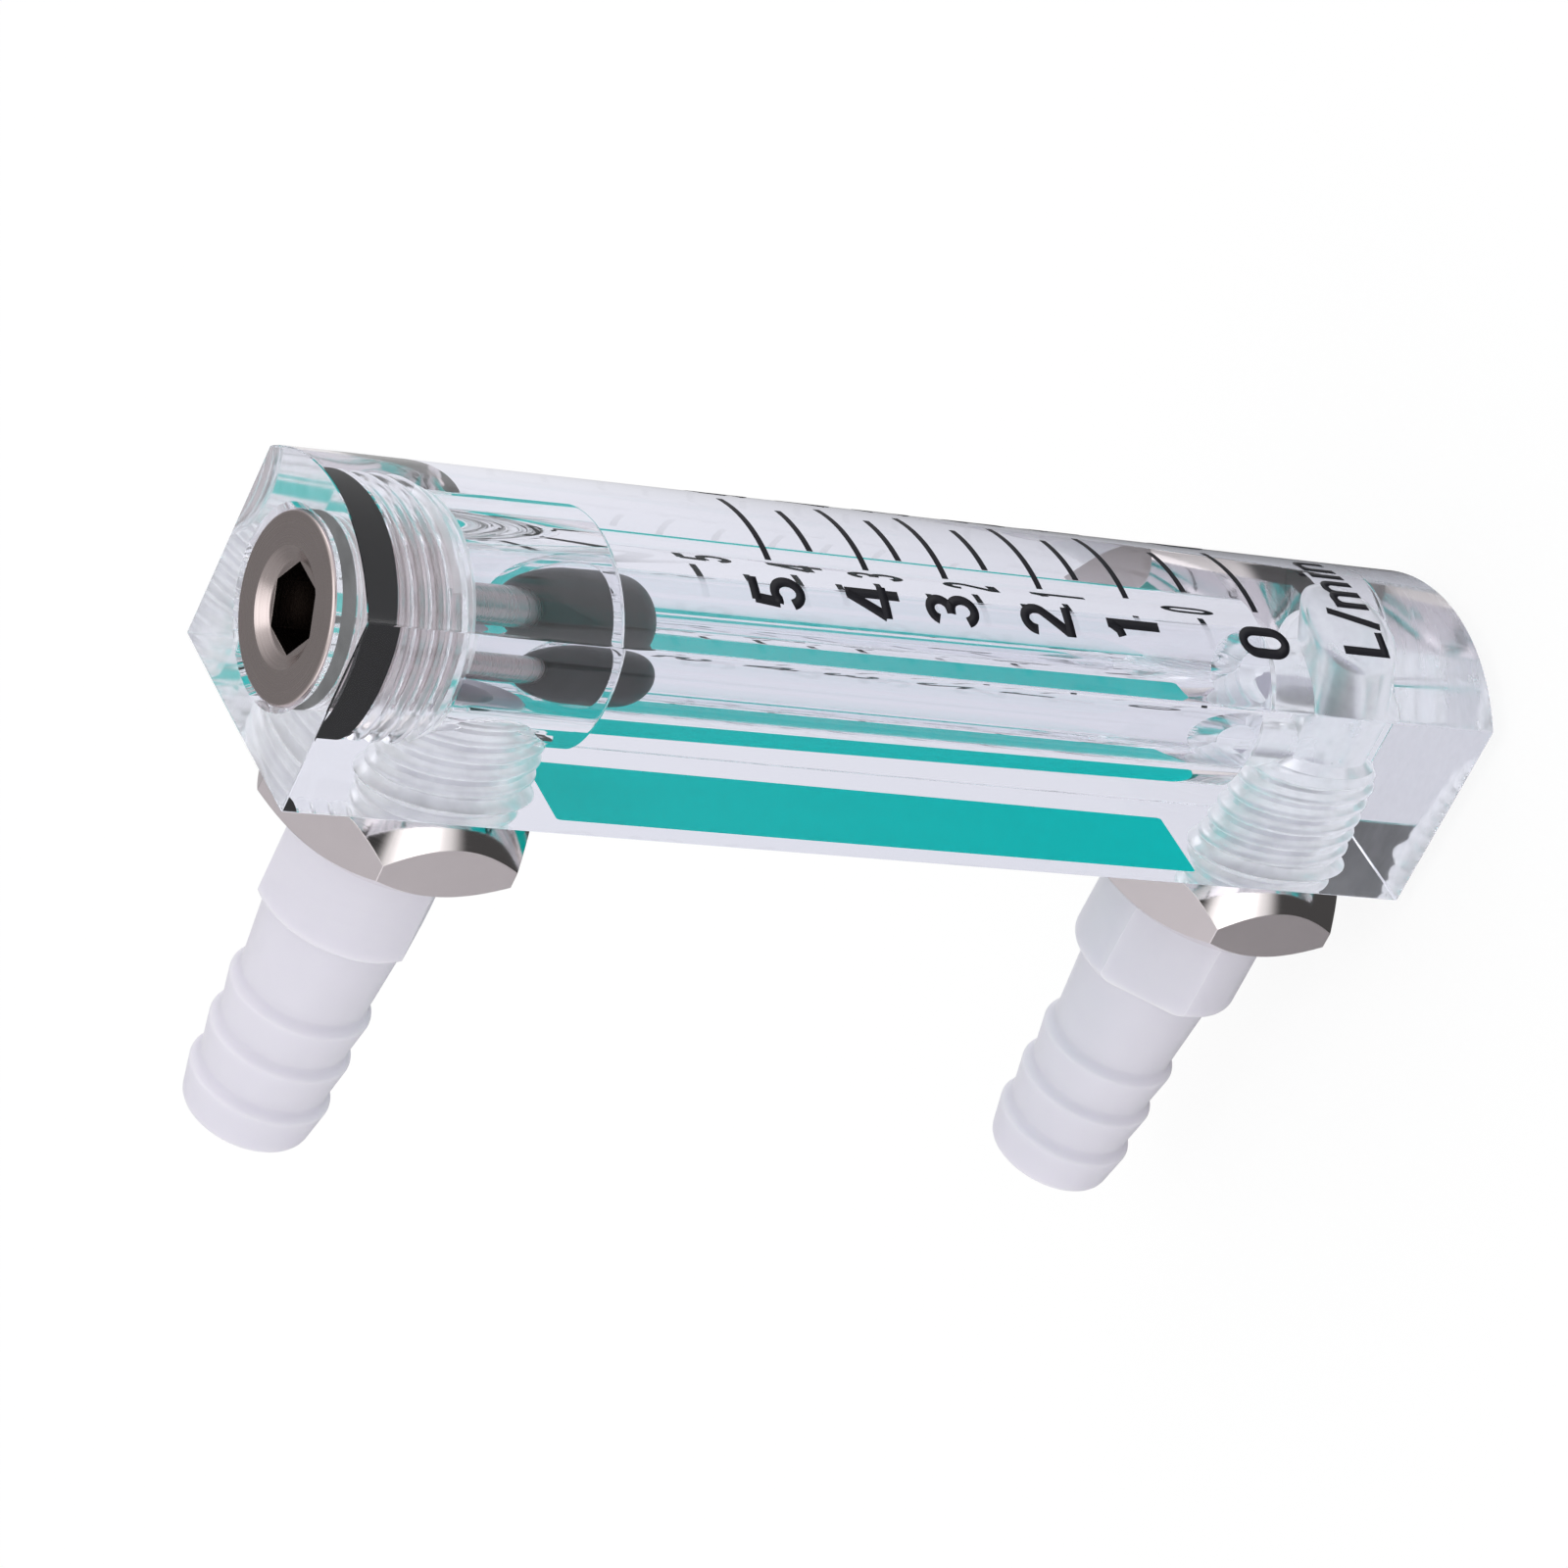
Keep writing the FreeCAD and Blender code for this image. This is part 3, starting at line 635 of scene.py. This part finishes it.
def makeFitting(side, z, material):
    f = fitting
    low, tip = fittingLow.y, fittingHigh.y
    crest = block["portCrest"] - f["gap"] + block["portTaper"] * (low + block["portTapDepth"])
    root = crest - block["portTeeth"]
    place = onPort(z)
    solid = asObject(lathe(fittingProfile(low, tip, root), 160, closed=True), "fitting", place)
    screwed = thread("fittingThread", low, -f["threadTop"], crest, root - bite,
                     f["threadLeads"], place, block["portTaper"])
    combined(solid, [screwed], "UNION")
    bore, end = f["hoseBore"], tip - f["boreShort"]
    hole = lathe([(0, low - over), (bore, low - over), (bore, end), (0, end)], 96)
    tools = [asObject(hole, "hole", place)]
    turn = Matrix.Rotation(-radians(f["flatsTurn"][side]), 4, "Y")
    half = f["neckFlats"] / 2
    reach, flatEnd = f["flatsReach"], f["neckLength"] + f["flatsPast"]
    for sign in (1, -1):
        left, right = sorted((sign * half, sign * (half + f["flatsDepth"])))
        flat = prism([(left, -reach), (right, -reach), (right, flatEnd), (left, flatEnd)],
                     -reach, reach)
        tools.append(asObject(flat, "flat", Matrix.Translation((0, 0, z)) @ turn))
    combined(solid, tools)
    smoothed(solid, 32)
    markThreaded(solid.data, z)
    finished(solid, side + "HoseFitting", "housing", material,
             [side + "_barb"])


def markThreaded(mesh, z):
    # Writes 1 on the neck's round wall, where the nut's thread runs.
    mark = mesh.attributes.new("threaded", "FLOAT", "FACE")
    for face, value in zip(mesh.polygons, mark.data):
        c = face.center
        onNeck = 0 < c.y < fitting["neckLength"] - 0.6
        value.value = float(onNeck and sqrt(c.x ** 2 + (c.z - z) ** 2) > fittingHigh.x - 0.05)


# Panel nuts

nut = {"across": 16.8, "nearRadius": 6.6, "nearAngle": 49.0, "farRadius": 7.9,
       "farAngle": 38.0, "boreRadius": 6.01, "oversize": 0.2,
       "turn": {"upper": -2.0, "lower": -3.0}}


def makeNut(side, z, material):
    n = nut
    low, high = nutLow.y, nutHigh.y
    corner = n["across"] / 2 / cos(pi / 6) + n["oversize"]
    near = (corner - n["nearRadius"]) * tan(radians(n["nearAngle"]))
    far = (corner - n["farRadius"]) * tan(radians(n["farAngle"]))
    turned = lathe([(n["boreRadius"], low), (n["nearRadius"], low), (corner, low + near),
                    (corner, high - far), (n["farRadius"], high), (n["boreRadius"], high)],
                   240, closed=True)
    solid = asObject(turned, "nut", onPort(z))
    hexagon = prism(hexagonOutline(n["across"], pi / 2), low - over, high + over)
    turn = Matrix.Rotation(radians(n["turn"][side]), 4, "Z")
    combined(solid, [asObject(hexagon, "hexagon", onPort(z) @ turn)], "INTERSECT")
    smoothed(solid, 20)
    markTurned(solid.data)
    finished(solid, side + "PanelNut", side + "_nut", material,
             [side + "_nut"])


def markTurned(mesh):
    # Writes 1 on the turned cones and faces and 0 on the milled flats and the bore.
    mark = mesh.attributes.new("turned", "FLOAT", "FACE")
    for face, value in zip(mesh.polygons, mark.data):
        value.value = 0.0 if abs(face.normal.y) < 0.02 else 1.0


# Print on the front. Depths are from the top end, and spans across the block.

scale = {
    "majorDepths": (29.6, 36.85, 42.85, 50.1, 56.85, 67.2),
    "minorDepths": (33.15, 39.8, 46.4, 53.45, 61.95),
    "majorSpan": (-2.25, 5.0), "minorSpan": (-1.05, 3.7), "lineWidth": 0.45,
    # Each row of figures is its middle across the block, its width factor and its depths.
    "numerals": {"left": (-4.62, 0.93, (29.5, 36.6, 42.55, 49.8, 56.6, 67.0)),
                 "right": (7.3, 0.82, (31.0, 37.6, 43.4, 50.4, 56.95, 66.8))},
    "numeralHeight": 4.05, "bold": 0.165, "signGap": 0.1,
    "unit": "L/min", "unitDepth": 75.4, "unitX": 0.4, "unitHeight": 3.65, "unitBold": 0.162,
    "sunk": 0.012, "raised": 0.02}


def crownDrop(size, x):
    # How far the crown lies behind its own front at a place across the block.
    radius = size["Crown Radius"]
    return radius - (radius * radius - x * x).math("SQRT")


def tickTree():
    # A bar on every point, as long as the point says, then bent onto the crown.
    tree, size = newTree("Scale lines", {
        "Line Width": 0.36, "Thickness": 0.03, "Crown Radius": 13.0, "Crown Front": -18.0,
        "Raised": 0.02})
    bar = addNode(tree, "GeometryNodeMeshCube", None,
                  {"Size": joinVector(tree, 1.0, size["Thickness"], size["Line Width"]),
                   "Vertices X": 24, "Vertices Y": 2, "Vertices Z": 2})
    span = addNode(tree, "GeometryNodeInputNamedAttribute", {"data_type": "FLOAT"},
                   {"Name": "span"})
    bars = addNode(tree, "GeometryNodeInstanceOnPoints", None,
                   {"Points": size["Geometry"], "Instance": bar,
                    "Scale": joinVector(tree, span, 1.0, 1.0)})
    real = addNode(tree, "GeometryNodeRealizeInstances", None, {"Geometry": bars})
    x, y, z = splitVector(addNode(tree, "GeometryNodeInputPosition"))
    onCrown = (y + size["Crown Front"] + crownDrop(size, x) + size["Thickness"] / 2
               - size["Raised"])
    bent = addNode(tree, "GeometryNodeSetPosition", None,
                   {"Geometry": real, "Position": joinVector(tree, x, onCrown, z)})
    return endTree(tree, bent, size["Material"])


def printed(tree, name, mesh, material, own):
    # Runs a print tree on its points or strokes, for the crown that the frame gives.
    sizes = {"Thickness": scale["sunk"] + scale["raised"], "Raised": scale["raised"],
             "Crown Radius": crownRadius(), "Crown Front": blockLow.y, "Material": material}
    return runTree(tree, name, {**sizes, **own}, linked(mesh, name))


def makeTicks(material):
    mesh = bpy.data.meshes.new("ticks")
    ticks = [(depth, scale["majorSpan"]) for depth in scale["majorDepths"]]
    ticks += [(depth, scale["minorSpan"]) for depth in scale["minorDepths"]]
    mesh.from_pydata([((low + high) / 2, 0, topEnd - depth) for depth, (low, high) in ticks],
                     [], [])
    spans = mesh.attributes.new("span", "FLOAT", "POINT")
    for item, (depth, (low, high)) in zip(spans.data, ticks):
        item.value = high - low
    thing = printed(tickTree(), "scaleLines", mesh, material,
                    {"Line Width": scale["lineWidth"]})
    finished(thing, "scaleLines", "housing", material)


# Each sign is its width and the middle lines of its strokes, in cap heights.
signs = {
    "0": (0.58, [arc(0.29, 0.66, 0.205, 0.255, 0, 180) + arc(0.29, 0.34, 0.205, 0.255, 180, 360)
                 + [(0.495, 0.66)]]),
    "1": (0.50, [[(0.32, 0.0), (0.32, 1.0)], [(0.09, 0.76), (0.2, 0.79), (0.30, 0.92)]]),
    "2": (0.58, [arc(0.29, 0.69, 0.195, 0.225, 175, -30) + [(0.09, 0.12)],
                 [(0.02, 0.085), (0.56, 0.085)]]),
    "3": (0.58, [arc(0.28, 0.725, 0.185, 0.19, 165, -80) + [(0.22, 0.53)],
                 [(0.22, 0.535)] + arc(0.285, 0.305, 0.205, 0.22, 78, -165)]),
    "4": (0.60, [[(0.44, 0.0), (0.44, 0.98)], [(0.02, 0.29), (0.59, 0.29)],
                 [(0.05, 0.30), (0.41, 0.94)]]),
    "5": (0.58, [[(0.12, 0.915), (0.53, 0.915)], [(0.15, 0.94), (0.10, 0.50)],
                 [(0.09, 0.52)] + arc(0.28, 0.32, 0.205, 0.235, 128, -165)]),
    "L": (0.54, [[(0.085, 0.0), (0.085, 1.0)], [(0.04, 0.085), (0.52, 0.085)]]),
    "/": (0.34, [[(0.02, -0.03), (0.32, 1.03)]]),
    "m": (0.86, [[(0.085, 0.0), (0.085, 0.73)],
                 arc(0.257, 0.46, 0.172, 0.2, 175, 0) + [(0.43, 0.0)],
                 arc(0.602, 0.46, 0.172, 0.2, 175, 0) + [(0.775, 0.0)]]),
    "i": (0.17, [[(0.085, 0.0), (0.085, 0.73)], [(0.085, 0.86), (0.085, 1.0)]]),
    "n": (0.56, [[(0.085, 0.0), (0.085, 0.73)],
                 arc(0.27, 0.46, 0.185, 0.2, 175, 0) + [(0.455, 0.0)]])}


def signTree():
    # Gives every stroke its width and thickness, then bends it onto the crown.
    tree, size = newTree("Signs", {
        "Stroke Width": 0.6, "Thickness": 0.03, "Step": 0.15, "Crown Radius": 13.0,
        "Crown Front": -18.0, "Raised": 0.02})
    lines = addNode(tree, "GeometryNodeMeshToCurve", None, {"Mesh": size["Geometry"]})
    even = addNode(tree, "GeometryNodeResampleCurve", {"mode": "LENGTH"},
                   {"Curve": lines, "Length": size["Step"]})
    upright = addNode(tree, "GeometryNodeSetCurveNormal", {"mode": "Z_UP"}, {"Curve": even})
    section = addNode(tree, "GeometryNodeCurvePrimitiveQuadrilateral", None,
                      {"Width": size["Stroke Width"], "Height": size["Thickness"]})
    strokes = addNode(tree, "GeometryNodeCurveToMesh", None,
                      {"Curve": upright, "Profile Curve": section, "Fill Caps": True})
    x, y, z = splitVector(addNode(tree, "GeometryNodeInputPosition"))
    onCrown = (size["Crown Front"] + crownDrop(size, x) - z + size["Thickness"] / 2
               - size["Raised"])
    bent = addNode(tree, "GeometryNodeSetPosition", None,
                   {"Geometry": strokes, "Position": joinVector(tree, x, onCrown, y)})
    return endTree(tree, bent, size["Material"])


strokeTree = signTree()


def makeSigns(name, words, height, bold, material):
    # Words are (signs, middle across the block, depth of their middle, width factor).
    points, edges = [], []
    gap = scale["signGap"]
    for text, middle, depth, wide in words:
        total = sum(signs[sign][0] for sign in text) + gap * (len(text) - 1)
        left = middle - total * height * wide / 2
        for sign in text:
            width, strokes = signs[sign]
            for stroke in strokes:
                first = len(points)
                points += [(left + u * height * wide, topEnd - depth + (v - 0.5) * height, 0)
                           for u, v in stroke]
                edges += [(i, i + 1) for i in range(first, len(points) - 1)]
            left += (width + gap) * height * wide
    mesh = bpy.data.meshes.new(name)
    mesh.from_pydata(points, edges, [])
    thing = printed(strokeTree, name, mesh, material, {"Stroke Width": bold * height})
    bm = bmesh.new()
    bm.from_mesh(thing.data)
    bmesh.ops.recalc_face_normals(bm, faces=bm.faces)
    bm.to_mesh(thing.data)
    bm.free()
    finished(thing, name, "housing", material)


# Stripe on the back

stripe = {"left": -5.9, "right": 5.0, "top": 20.0, "bottom": 69.0, "corner": 0.35,
          "sunk": 0.012, "raised": 0.03}


def makeStripe(material):
    s = stripe
    places = ((s["left"], -s["bottom"]), (s["right"], -s["bottom"]),
              (s["right"], -s["top"]), (s["left"], -s["top"]))
    corners = [(x, y, s["corner"]) for x, y in places]
    ring = rounded([corners[-1]] + corners + [corners[0]], 6)[1:-1]
    outline = [(point.x, point.y + topEnd) for point in ring]
    plate = prism(outline, -s["raised"], s["sunk"])
    thing = asObject(plate, "stripe", Matrix.Rotation(pi / 2, 4, "X"))
    finished(thing, "backStripe", "housing", material)


# Finishes. Noises work on places in mm, and bumps, bevels and scatter are in metres.

def newMaterial(name):
    material = bpy.data.materials.new(name)
    material.use_nodes = True
    tree = material.node_tree
    tree.nodes.clear()
    coords = addNode(tree, "ShaderNodeTexCoord", out=3)
    place = addNode(tree, "ShaderNodeVectorMath", {"operation": "SCALE"},
                    {"Vector": coords, "Scale": 1 / mm})
    return material, tree, place


def shaded(tree, **inputs):
    names = {"colour": "Base Color", "metal": "Metallic", "rough": "Roughness", "ior": "IOR",
             "clear": "Transmission Weight", "bump": "Normal", "glow": "Subsurface Weight",
             "depth": "Subsurface Scale", "spread": "Subsurface Radius",
             "specular": "Specular IOR Level", "light": "Emission Color",
             "power": "Emission Strength"}
    return addNode(tree, "ShaderNodeBsdfPrincipled", None,
                   {names[key]: value for key, value in inputs.items()})


def dress(tree, **inputs):
    addNode(tree, "ShaderNodeOutputMaterial", None, {"Surface": shaded(tree, **inputs)})


def noise(place, size, detail=3.0, rough=0.5, stretch=None):
    if stretch:
        place = addNode(place.tree, "ShaderNodeVectorMath", {"operation": "MULTIPLY"},
                        {0: place, 1: stretch})
    return addNode(place.tree, "ShaderNodeTexNoise", None,
                   {"Vector": place, "Scale": size, "Detail": detail, "Roughness": rough})


def bump(height, strength, distance, under=None):
    inputs = {"Strength": strength, "Distance": distance, "Height": height}
    if under:
        inputs["Normal"] = under
    return addNode(height.tree, "ShaderNodeBump", None, inputs)


def attribute(tree, name):
    return addNode(tree, "ShaderNodeAttribute", {"attribute_name": name}, out=2)


def clearAcrylic():
    # Clear throughout, with a share of white on the walls that a cutter left milky. That white
    # share also glows a little, which is a painted glow.
    material, tree, place = newMaterial("clear acrylic")
    milky = attribute(tree, "frost") * noise(place, 0.4).ramp(0.3, 0.7, 0.85, 1.15)
    clear = shaded(tree, colour=(0.92, 0.92, 0.95), rough=milky * (1 - milky * 1.2), ior=1.49,
                   clear=1.0, specular=0.15)
    # The milky white is given a faint painted glow through its emission.
    white = shaded(tree, colour=(0.85, 0.86, 0.88), rough=0.6, specular=0.0,
                   light=(0.90, 0.93, 0.95), power=0.5)
    both = addNode(tree, "ShaderNodeMixShader", None, {0: milky, 1: clear, 2: white})
    addNode(tree, "ShaderNodeOutputMaterial", None, {"Surface": both})
    return material


def turningRings(place, radius, along):
    # Fine rings round a turning axis, from the distances to it and along it.
    return noise(joinVector(place.tree, radius, along, 0.0), 7.0, 4.0, 0.65)


def dressNickel(tree, colour, rough, height):
    edges = addNode(tree, "ShaderNodeBevel", {"samples": 6}, {"Radius": 0.00008})
    dress(tree, colour=colour, metal=1.0, rough=rough,
          bump=bump(height, 0.3, 0.00002, edges))


def plugNickel():
    material, tree, place = newMaterial("turned nickel")
    x, y, z = splitVector(place)
    fromBore = y - boreY
    rings = turningRings(place, (x * x + fromBore * fromBore).math("SQRT"), z)
    plated = noise(place, 0.5).mix((0.57, 0.49, 0.48), (0.62, 0.54, 0.53))
    # Painted shade: the key socket's walls and the stem are coloured dark by the deep attribute.
    dressNickel(tree, attribute(tree, "deep").mix(plated, (0.12, 0.10, 0.09)),
                rings.ramp(0.3, 0.7, 0.2, 0.3), rings)
    return material


def nutNickel():
    # Milled flats, and turned faces that are smoother.
    material, tree, place = newMaterial("nut nickel")
    x, y, z = splitVector(place)
    fromPort = z.math("ABSOLUTE") - portZ
    rings = turningRings(place, (x * x + fromPort * fromPort).math("SQRT"), y)
    milled = noise(place, 6.0, 4.0, 0.6, (0.3, 1.0, 14.0))
    turned = attribute(tree, "turned")
    flats = noise(place, 0.5).mix((0.83, 0.76, 0.79), (0.87, 0.80, 0.83))
    rough = turned.mix(milled.ramp(0.3, 0.7, 0.3, 0.42), rings.ramp(0.3, 0.7, 0.06, 0.12),
                       "FLOAT")
    dressNickel(tree, turned.mix(flats, (0.80, 0.75, 0.75)), rough,
                turned.mix(milled, rings * 0.4, "FLOAT"))
    return material


def blackRubber():
    material, tree, place = newMaterial("black rubber")
    speck = noise(place, 0.8)
    dress(tree, colour=speck.mix((0.008, 0.008, 0.011), (0.011, 0.011, 0.015)),
          rough=speck.ramp(0.3, 0.7, 0.5, 0.6), specular=0.0)
    return material


def blackFloat():
    material, tree, place = newMaterial("black float")
    speck = noise(place, 0.8)
    dress(tree, colour=speck.mix((0.003, 0.003, 0.005), (0.006, 0.006, 0.008)),
          rough=speck.ramp(0.3, 0.7, 0.35, 0.45), specular=0.12)
    return material


def whiteMoulding():
    # Light goes a little way in, and the neck's fine thread is a bump.
    material, tree, place = newMaterial("white moulding")
    x, y, z = splitVector(place)
    grain = noise(place, 1.6, 4.0)
    turn = x.math("ARCTAN2", z.math("ABSOLUTE") - portZ) / (2 * pi)
    turns = (y / screw["pitch"] - turn).math("PINGPONG", 0.5) * attribute(tree, "threaded")
    dress(tree, colour=noise(place, 0.25).mix((0.73, 0.715, 0.785), (0.76, 0.745, 0.815)),
          rough=grain.ramp(0.3, 0.7, 0.38, 0.48), ior=1.49, glow=1.0, depth=0.0012,
          spread=(1.0, 0.95, 1.0), bump=bump(grain * 0.15 + turns, 0.5, 0.00005))
    return material


def tealPrint():
    material, tree, place = newMaterial("teal print")
    cover = noise(place, 0.35, 4.0)
    # The side in the acrylic is painted brighter and given a faint teal glow, painted light that
    # stands in for the light that the block keeps from it.
    outer = splitVector(place)[1].ramp(0.005, 0.02)
    inner = cover.mix((0.0, 0.88, 0.80), (0.0, 0.93, 0.85))
    dress(tree, colour=outer.mix(inner, (0.005, 0.44, 0.40)),
          rough=cover.ramp(0.3, 0.7, 0.45, 0.55), specular=0.0,
          light=outer.mix((0.0, 0.9, 0.84), (0.0, 0.0, 0.0)), power=0.09)
    return material


def blackInk():
    material, tree, place = newMaterial("black ink")
    cover = noise(place, 2.2, 4.0)
    dress(tree, colour=cover.mix((0.008, 0.008, 0.012), (0.014, 0.014, 0.02)),
          rough=cover.ramp(0.3, 0.7, 0.4, 0.5), specular=0.2)
    return material


# Pieces in their finishes

makeBlock(clearAcrylic())
makePlug(plugNickel())
makeSealRing(blackRubber())
makeFloat(blackFloat())
white = whiteMoulding()
nickel = nutNickel()
for side, z in ports.items():
    makeFitting(side, z, white)
    makeNut(side, z, nickel)
ink = blackInk()
makeTicks(ink)
for side, (x, wide, depths) in scale["numerals"].items():
    figures = [(str(number), x, depth, wide) for number, depth in zip(range(5, -1, -1), depths)]
    makeSigns(side + "Numerals", figures, scale["numeralHeight"], scale["bold"], ink)
makeSigns("unitSigns", [(scale["unit"], scale["unitX"], scale["unitDepth"], 1.0)],
          scale["unitHeight"], scale["unitBold"], ink)
makeStripe(tealPrint())


# Studio: a pale floor, a soft surround and large lamps

studio = {
    "floorDrop": 0.0002, "floorSize": 3.0, "floorGlow": 1.03, "glowShare": 0.85,
    "indirect": 0.85, "throughBlock": (0.80, 0.81, 0.885),
    # A zone is a direction, an inner and an outer angle round it in degrees, and a strength.
    "greyZones": (
        ((0, 0, -1), 50, 68, 0.93),
        ((0.67, 0.50, 0.55), 25, 65, 0.75),
        ((-0.50, -0.77, 0.40), 5, 15, 0.95),
        ((-0.02, 0.53, 0.85), 15, 40, 0.55),
        ((-0.72, -0.62, 0.30), 4, 12, 0.6)),
    "brightZone": ((-0.64, -0.73, -0.10), 8, 22, 1.2),
    "throughZones": (
        ((0.672, -0.502, 0.545), 8, 20, 0.9),
        ((0.672, 0.502, 0.545), 10, 25, 0.12)),
    # A lamp is its name, its place, the length of its side and its power.
    "lamps": (
        ("overhead", (-0.10, -0.15, 0.95), 0.7, 1.3),
        ("left", (-0.75, 0.45, 0.35), 0.6, 0.6),
        ("front", (0.55, -0.75, 0.30), 0.6, 0.8))}


def rayKinds(tree):
    # What the camera sees straight on, what shows through the clear block, what metal mirrors.
    path = addNode(tree, "ShaderNodeLightPath").socket.node
    camera, glossy, through = [Wire(tree, path.outputs[name]) for name in
                               ("Is Camera Ray", "Is Glossy Ray", "Is Transmission Ray")]
    return camera, through, glossy * (1 - through)


def makeFloor():
    # It lights up where the camera sees it, and isn't there for mirrored rays.
    size = studio["floorSize"] / 2
    mesh = bpy.data.meshes.new("studioFloor")
    z = cadBounds[0][2] - studio["floorDrop"]
    mesh.from_pydata([(-size, -size, z), (size, -size, z), (size, size, z), (-size, size, z)],
                     [], [(0, 1, 2, 3)])
    floor = linked(mesh, "studioFloor")
    material, tree, place = newMaterial("pale floor")
    camera, through, mirrored = rayKinds(tree)
    paper = noise(place, 0.02)
    plain = addNode(tree, "ShaderNodeBsdfDiffuse", None,
                    {"Color": paper.mix((0.86, 0.86, 0.86), (0.88, 0.88, 0.88))})
    glow = addNode(tree, "ShaderNodeEmission", None,
                   {"Color": through.mix((1, 1, 1), studio["throughBlock"]),
                    "Strength": studio["floorGlow"]})
    lit = addNode(tree, "ShaderNodeMixShader", None,
                  {0: (camera + through) * studio["glowShare"], 1: plain, 2: glow})
    gone = addNode(tree, "ShaderNodeBsdfTransparent", None, {"Color": (1, 1, 1)})
    both = addNode(tree, "ShaderNodeMixShader", None, {0: mirrored, 1: lit, 2: gone})
    addNode(tree, "ShaderNodeOutputMaterial", None, {"Surface": both})
    mesh.materials.append(material)


def makeWorld():
    world = bpy.data.worlds.new("soft surround")
    bpy.context.scene.world = world
    world.use_nodes = True
    tree = world.node_tree
    tree.nodes.clear()
    camera, through, mirrored = rayKinds(tree)
    toward = addNode(tree, "ShaderNodeTexCoord", out=0)

    def zone(direction, inner, outer, strength):
        facing = addNode(tree, "ShaderNodeVectorMath", {"operation": "DOT_PRODUCT"},
                         {0: toward, 1: direction}, out=1)
        return facing.ramp(cos(radians(outer)), cos(radians(inner)), 0.0, strength)

    def strongest(zones):
        return reduce(lambda most, each: zone(*each).math("MAXIMUM", most), zones, 0.0)

    reflected = 1 - strongest(studio["greyZones"]) + zone(*studio["brightZone"])
    seenThrough = 1 - strongest(studio["throughZones"])
    other = 1 - camera - through - mirrored
    strength = (camera + through * seenThrough + mirrored * reflected
                + other * studio["indirect"])
    light = addNode(tree, "ShaderNodeBackground", None,
                    {"Color": through.mix((1, 1, 1), studio["throughBlock"]),
                     "Strength": strength})
    addNode(tree, "ShaderNodeOutputWorld", None, {"Surface": light})


def makeLamps():
    for name, place, size, power in studio["lamps"]:
        data = bpy.data.lights.new(name, "AREA")
        data.shape, data.size, data.energy = "SQUARE", size, power
        lamp = bpy.data.objects.new(name, data)
        lamp.location = place
        lamp.rotation_euler = (-Vector(place)).to_track_quat("-Z", "Y").to_euler()
        bpy.context.scene.collection.objects.link(lamp)


# The camera as solved from the corners of the block in the photo
photoCamera = {
    "lens": 155.5, "sensor": 36, "nearest": 0.02, "farthest": 20,
    "place": (-0.2916, -0.2166, 0.2406),
    "right": (-0.38356098, -0.39344289, -0.83551402),
    "up": (0.63358596, -0.77032558, 0.07188422),
    "back": (-0.67190015, -0.50179797, 0.54474672)}


def makeCamera():
    c = photoCamera
    data = bpy.data.cameras.new("photo camera")
    data.lens, data.sensor_width = c["lens"], c["sensor"]
    data.clip_start, data.clip_end = c["nearest"], c["farthest"]
    camera = bpy.data.objects.new("photo camera", data)
    turn = Matrix([c["right"], c["up"], c["back"]]).transposed()
    camera.matrix_world = Matrix.Translation(c["place"]) @ turn.to_4x4()
    bpy.context.scene.collection.objects.link(camera)
    bpy.context.scene.camera = camera


makeFloor()
makeWorld()
makeLamps()
makeCamera()
scene = bpy.context.scene
scene.view_settings.view_transform = "Standard"
scene.cycles.max_bounces = 18
scene.cycles.transmission_bounces = 16
scene.cycles.glossy_bounces = 10
scene.cycles.diffuse_bounces = 2
print("studio ready")
